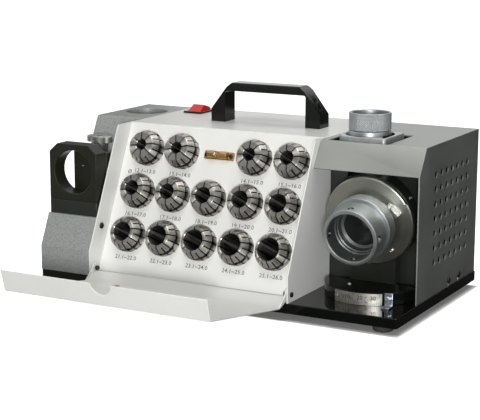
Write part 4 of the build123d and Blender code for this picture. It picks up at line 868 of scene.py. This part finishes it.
# Front port: a black round head on a pedestal, with a screw in its side, carries a turned steel disc with a
# stepped face. Two polished keys lie by the step, and a stepped steel sleeve takes the drill chuck.
port_tilt = math.radians(10.7)
port_axis = (0, -math.cos(port_tilt), -math.sin(port_tilt))
head_black = finish(
    "worn_black_enamel", paint_skin, cell=700, rough=(0.22, 0.34),
    low=(0.007, 0.0085, 0.006), high=(0.014, 0.016, 0.012), bump=(0.12, 0.00004), IOR=1.4)
eased_copy("swivel_head", "swivel", head_black, ease=0.0008)
disc_steel = painted_shade_by_depth(axis_steel(
    "turned_disc_steel", "cam_disc", port_axis, cell=1300, rough=(0.34, 0.42), low=(0.30, 0.30, 0.265),
    high=(0.385, 0.385, 0.345), sheen=0.3))


def stepped_disc():
    """The disc as a loop of columns: from the step's upper edge, at the angle asin(step / radius), on round to
    straight down the face is full height, and from there back up to the edge the face is lower outside the neck."""
    outer, inner, neck, thick, step, step_up = 0.04993, 0.025, 0.029, 0.005, 0.003, 0.0235
    full_columns, low_columns, low_sector_shade, step_shadow_line = 73, 41, 0.10, 0.9
    full = np.array([
        (inner, 0), (outer - 0.0004, 0), (outer, 0.0004), (outer, thick - 0.0007),
        (outer - 0.0001, thick - 0.0006), (outer - 0.0011, thick), (outer - 0.0013, thick), (0.036, thick),
        (neck + 0.0001, thick), (neck, thick), (inner, thick)])
    low = full.copy()
    low[3:9, 1] = full[3:9, 1] - step
    low[9] = (neck, thick - step + 0.0001)
    edge = np.arcsin(np.minimum(step_up / np.maximum(full[:, 0], neck), 1))[None, :]
    full_angle = edge + np.linspace(0, 1, full_columns)[:, None] * (1.5 * math.pi - edge)
    low_angle = 1.5 * math.pi + np.linspace(0, 1, low_columns)[:, None] * (edge + math.pi / 2)
    angle = np.concatenate([full_angle, low_angle])
    kind = np.r_[np.zeros(full_columns, int), np.ones(low_columns, int)]
    shape = np.stack([full, low])[kind]
    # Painted shade: the lower sector's face is darkened a little, and its last column, just under the step's edge,
    # nearly black as a painted shadow line.
    disc_shade = np.where((kind[:, None] == 1) & (np.arange(len(full)) > 2)[None, :], low_sector_shade, 0.0)
    disc_shade[-1, 3:9] = step_shadow_line
    return shape[..., 0], shape[..., 1], angle, closed_run(full), disc_shade


disc_seat, disc_axes = axis_seat("cam_disc", port_axis)
turned_round("cam_disc_turned", "cam_disc", port_axis, "swivel", "turned_steel", disc_steel, *stepped_disc())
stop_screw_place = disc_seat + np.array([0.024, -0.0317, 0.002]) @ disc_axes
screw_heads("stop_screw", "swivel", "ground_steel", bright_steel, [stop_screw_place], port_axis, radius=0.0026,
            height=0.0019, drive="hexagon")
head_out, head_back = 0.0509, 0.0095
head_side = np.array([0.859, 0.512, 0]) @ disc_axes
head_screw_place = disc_seat + head_side * head_out - np.array(port_axis) * head_back
screw_heads("head_screw", "swivel", "ground_steel", bright_steel, [head_screw_place], head_side, radius=0.0024,
            height=0.0016, drive="cross")
key_middles = np.array([(0.032, 0.0115), (0.038, 0.0115)])
key_places = np.array([(0.0252, 0.0170), (0.0306, 0.0138)])
key_lean = math.radians(42)


def lean_keys(points):
    """Each key moved close under the step and turned about its own middle, so that it lies along the sleeve's
    rim."""
    flat = (points - disc_seat) @ disc_axes.T
    which = (flat[:, 0] > key_middles[:, 0].mean()).astype(int)
    off = flat[:, :2] - key_middles[which]
    flat[:, 0] = key_places[which, 0] + off[:, 0] * math.cos(key_lean) - off[:, 1] * math.sin(key_lean)
    flat[:, 1] = key_places[which, 1] + off[:, 0] * math.sin(key_lean) + off[:, 1] * math.cos(key_lean)
    return disc_seat + flat @ disc_axes


key_steel = finish(
    "ground_key_steel", turned_skin, cell=900, rough=(0.36, 0.46),
    low=(0.56, 0.57, 0.57), high=(0.70, 0.71, 0.71), bump=(0.03, 0.00002), Metallic=1.0)
eased_copy("cam_keys", "swivel", key_steel, ease=0.0004, reshape=lean_keys)
socket_steel = painted_shade_by_depth(axis_steel(
    "satin_socket_steel", "chuck_socket", port_axis, cell=1300, rough=(0.38, 0.48), low=(0.335, 0.36, 0.36),
    high=(0.46, 0.49, 0.49), sheen=0.3))


def drilled_sleeve():
    """The socket: a turned outline round its axis, with fine steps near its holes and its gripping band. Near each
    of the four holes the outer wall sinks and the bore's wall swells, by a depth that is a function of the distance
    to the hole. The band rises by the larger of two slanting triangle waves."""
    corners = [
        (26.5, 68.2), (26.5, 48.2), (25.0, 48.2), (25.0, 45.2), (23.5, 45.2), (23.5, 37.2), (20.2, 37.2), (20.2, 0),
        (25.0, 0), (25.0, 20.0), (29.0, 20.0), (29.0, 27.0), (34.0, 27.0), (34.0, 41.5), (29.9, 41.5), (29.9, 42.5),
        (30.7, 42.5), (30.7, 68.2)]
    hole_height, hole_radius, hole_slope, hole_depth, hole_reach = 0.0612, 0.0034, 0.0005, 0.0019, 0.0045
    band_radius, band_low, band_high = 0.0339, 0.0285, 0.0400
    band_ridge, band_turns, band_pitch = 0.0002, 80, 0.0018
    bore_radius, bore_shelf, bore_mouth, socket_bore_shade = 0.0268, 0.0490, 0.0674, 0.42
    wall_low, wall_high, rim_low, rim_high, hole_wall_shade = 0.0300, 0.0310, 0.0029, 0.0036, 0.85
    outline = soften(np.array(corners) / 1000, 0.0006)
    run = closed_run(outline)
    outline = np.concatenate([outline, outline[:1]])
    dense = np.linspace(0, run[-1], 600, endpoint=False)
    at_holes = np.abs(np.interp(dense, run, outline[:, 1]) - hole_height) < hole_reach
    at_band = np.interp(dense, run, outline[:, 0]) > band_radius
    fine = np.unique(np.concatenate([run[:-1], dense[at_holes | at_band]]).round(7))
    radius = np.interp(fine, run, outline[:, 0])[None, :]
    height = np.interp(fine, run, outline[:, 1])[None, :]
    angle = full_circle(480, len(fine))
    away = np.hypot(radius * (np.mod(angle + math.pi / 4, math.pi / 2) - math.pi / 4), height - hole_height)
    sink = hole_depth * np.clip((hole_radius - away) / hole_slope, 0, 1)
    outer = (radius > wall_low) & (radius < wall_high)
    inner = (radius < bore_radius) & (height < bore_mouth)
    banded = (radius > band_radius) & (height > band_low) & (height < band_high)
    waves = np.stack([np.mod(angle * band_turns / math.pi + way * height / band_pitch, 2) for way in (-1, 1)])
    # Painted shade: the bore is darkened, and a ring over each hole's sunk wall is nearly black, so that each
    # dimple reads as a dark hole.
    socket_shade = np.maximum(inner * socket_bore_shade, hole_wall_shade * ((away > rim_low) & (away < rim_high)))
    radius = (radius - np.where(outer, sink, 0) + np.where(inner & (height > bore_shelf), sink, 0)
              + band_ridge * np.abs(waves - 1).max(0) * banded)
    return radius, height, angle, np.r_[fine, run[-1]], socket_shade


turned_round("chuck_socket_turned", "chuck_socket", port_axis, "swivel", "turned_steel", socket_steel,
             *drilled_sleeve(), crease=35)

# Lid: bent sheet in white powder coat, hinged on a screw at each end and shown swung open. A brass strike
# inside it meets the ball catch, and a notch in its flap takes a finger.
eased_copy("lid_panel", "lid", white_coat, ease=0.0004)
eased_copy("lid_strike", "lid", brass, ease=0.0004)
eased_copy("lid_pivots", "frame", dark_steel, ease=0.0006)

# Back panel: a sheet that closes the rear, grey outside and painted near black inside, a painted shade where the
# vents show it.
# A black gland takes the lead.
back_coat_shaded_inside = metallic_grey("grey_coat_shaded_inside")
back_face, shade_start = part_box("back_panel")[1].y, 0.0004
back_tree = back_coat_shaded_inside.node_tree
back_place = add_node(back_tree, "SeparateXYZ", [(0, add_node(back_tree, "TexCoord").outputs["Object"])]).outputs
# Painted shade: everything deeper than the outer skin, the inner face and the vents' walls, is darkened near black.
lay_colour_by_mask(back_coat_shaded_inside, reckon(back_tree, "LESS_THAN", back_place["Y"], back_face - shade_start), (0.006, 0.006, 0.006))
paint_node("back_panel", back_coat_shaded_inside)
eased_copy("cable_gland", "frame", black_plastic, ease=0.0005)
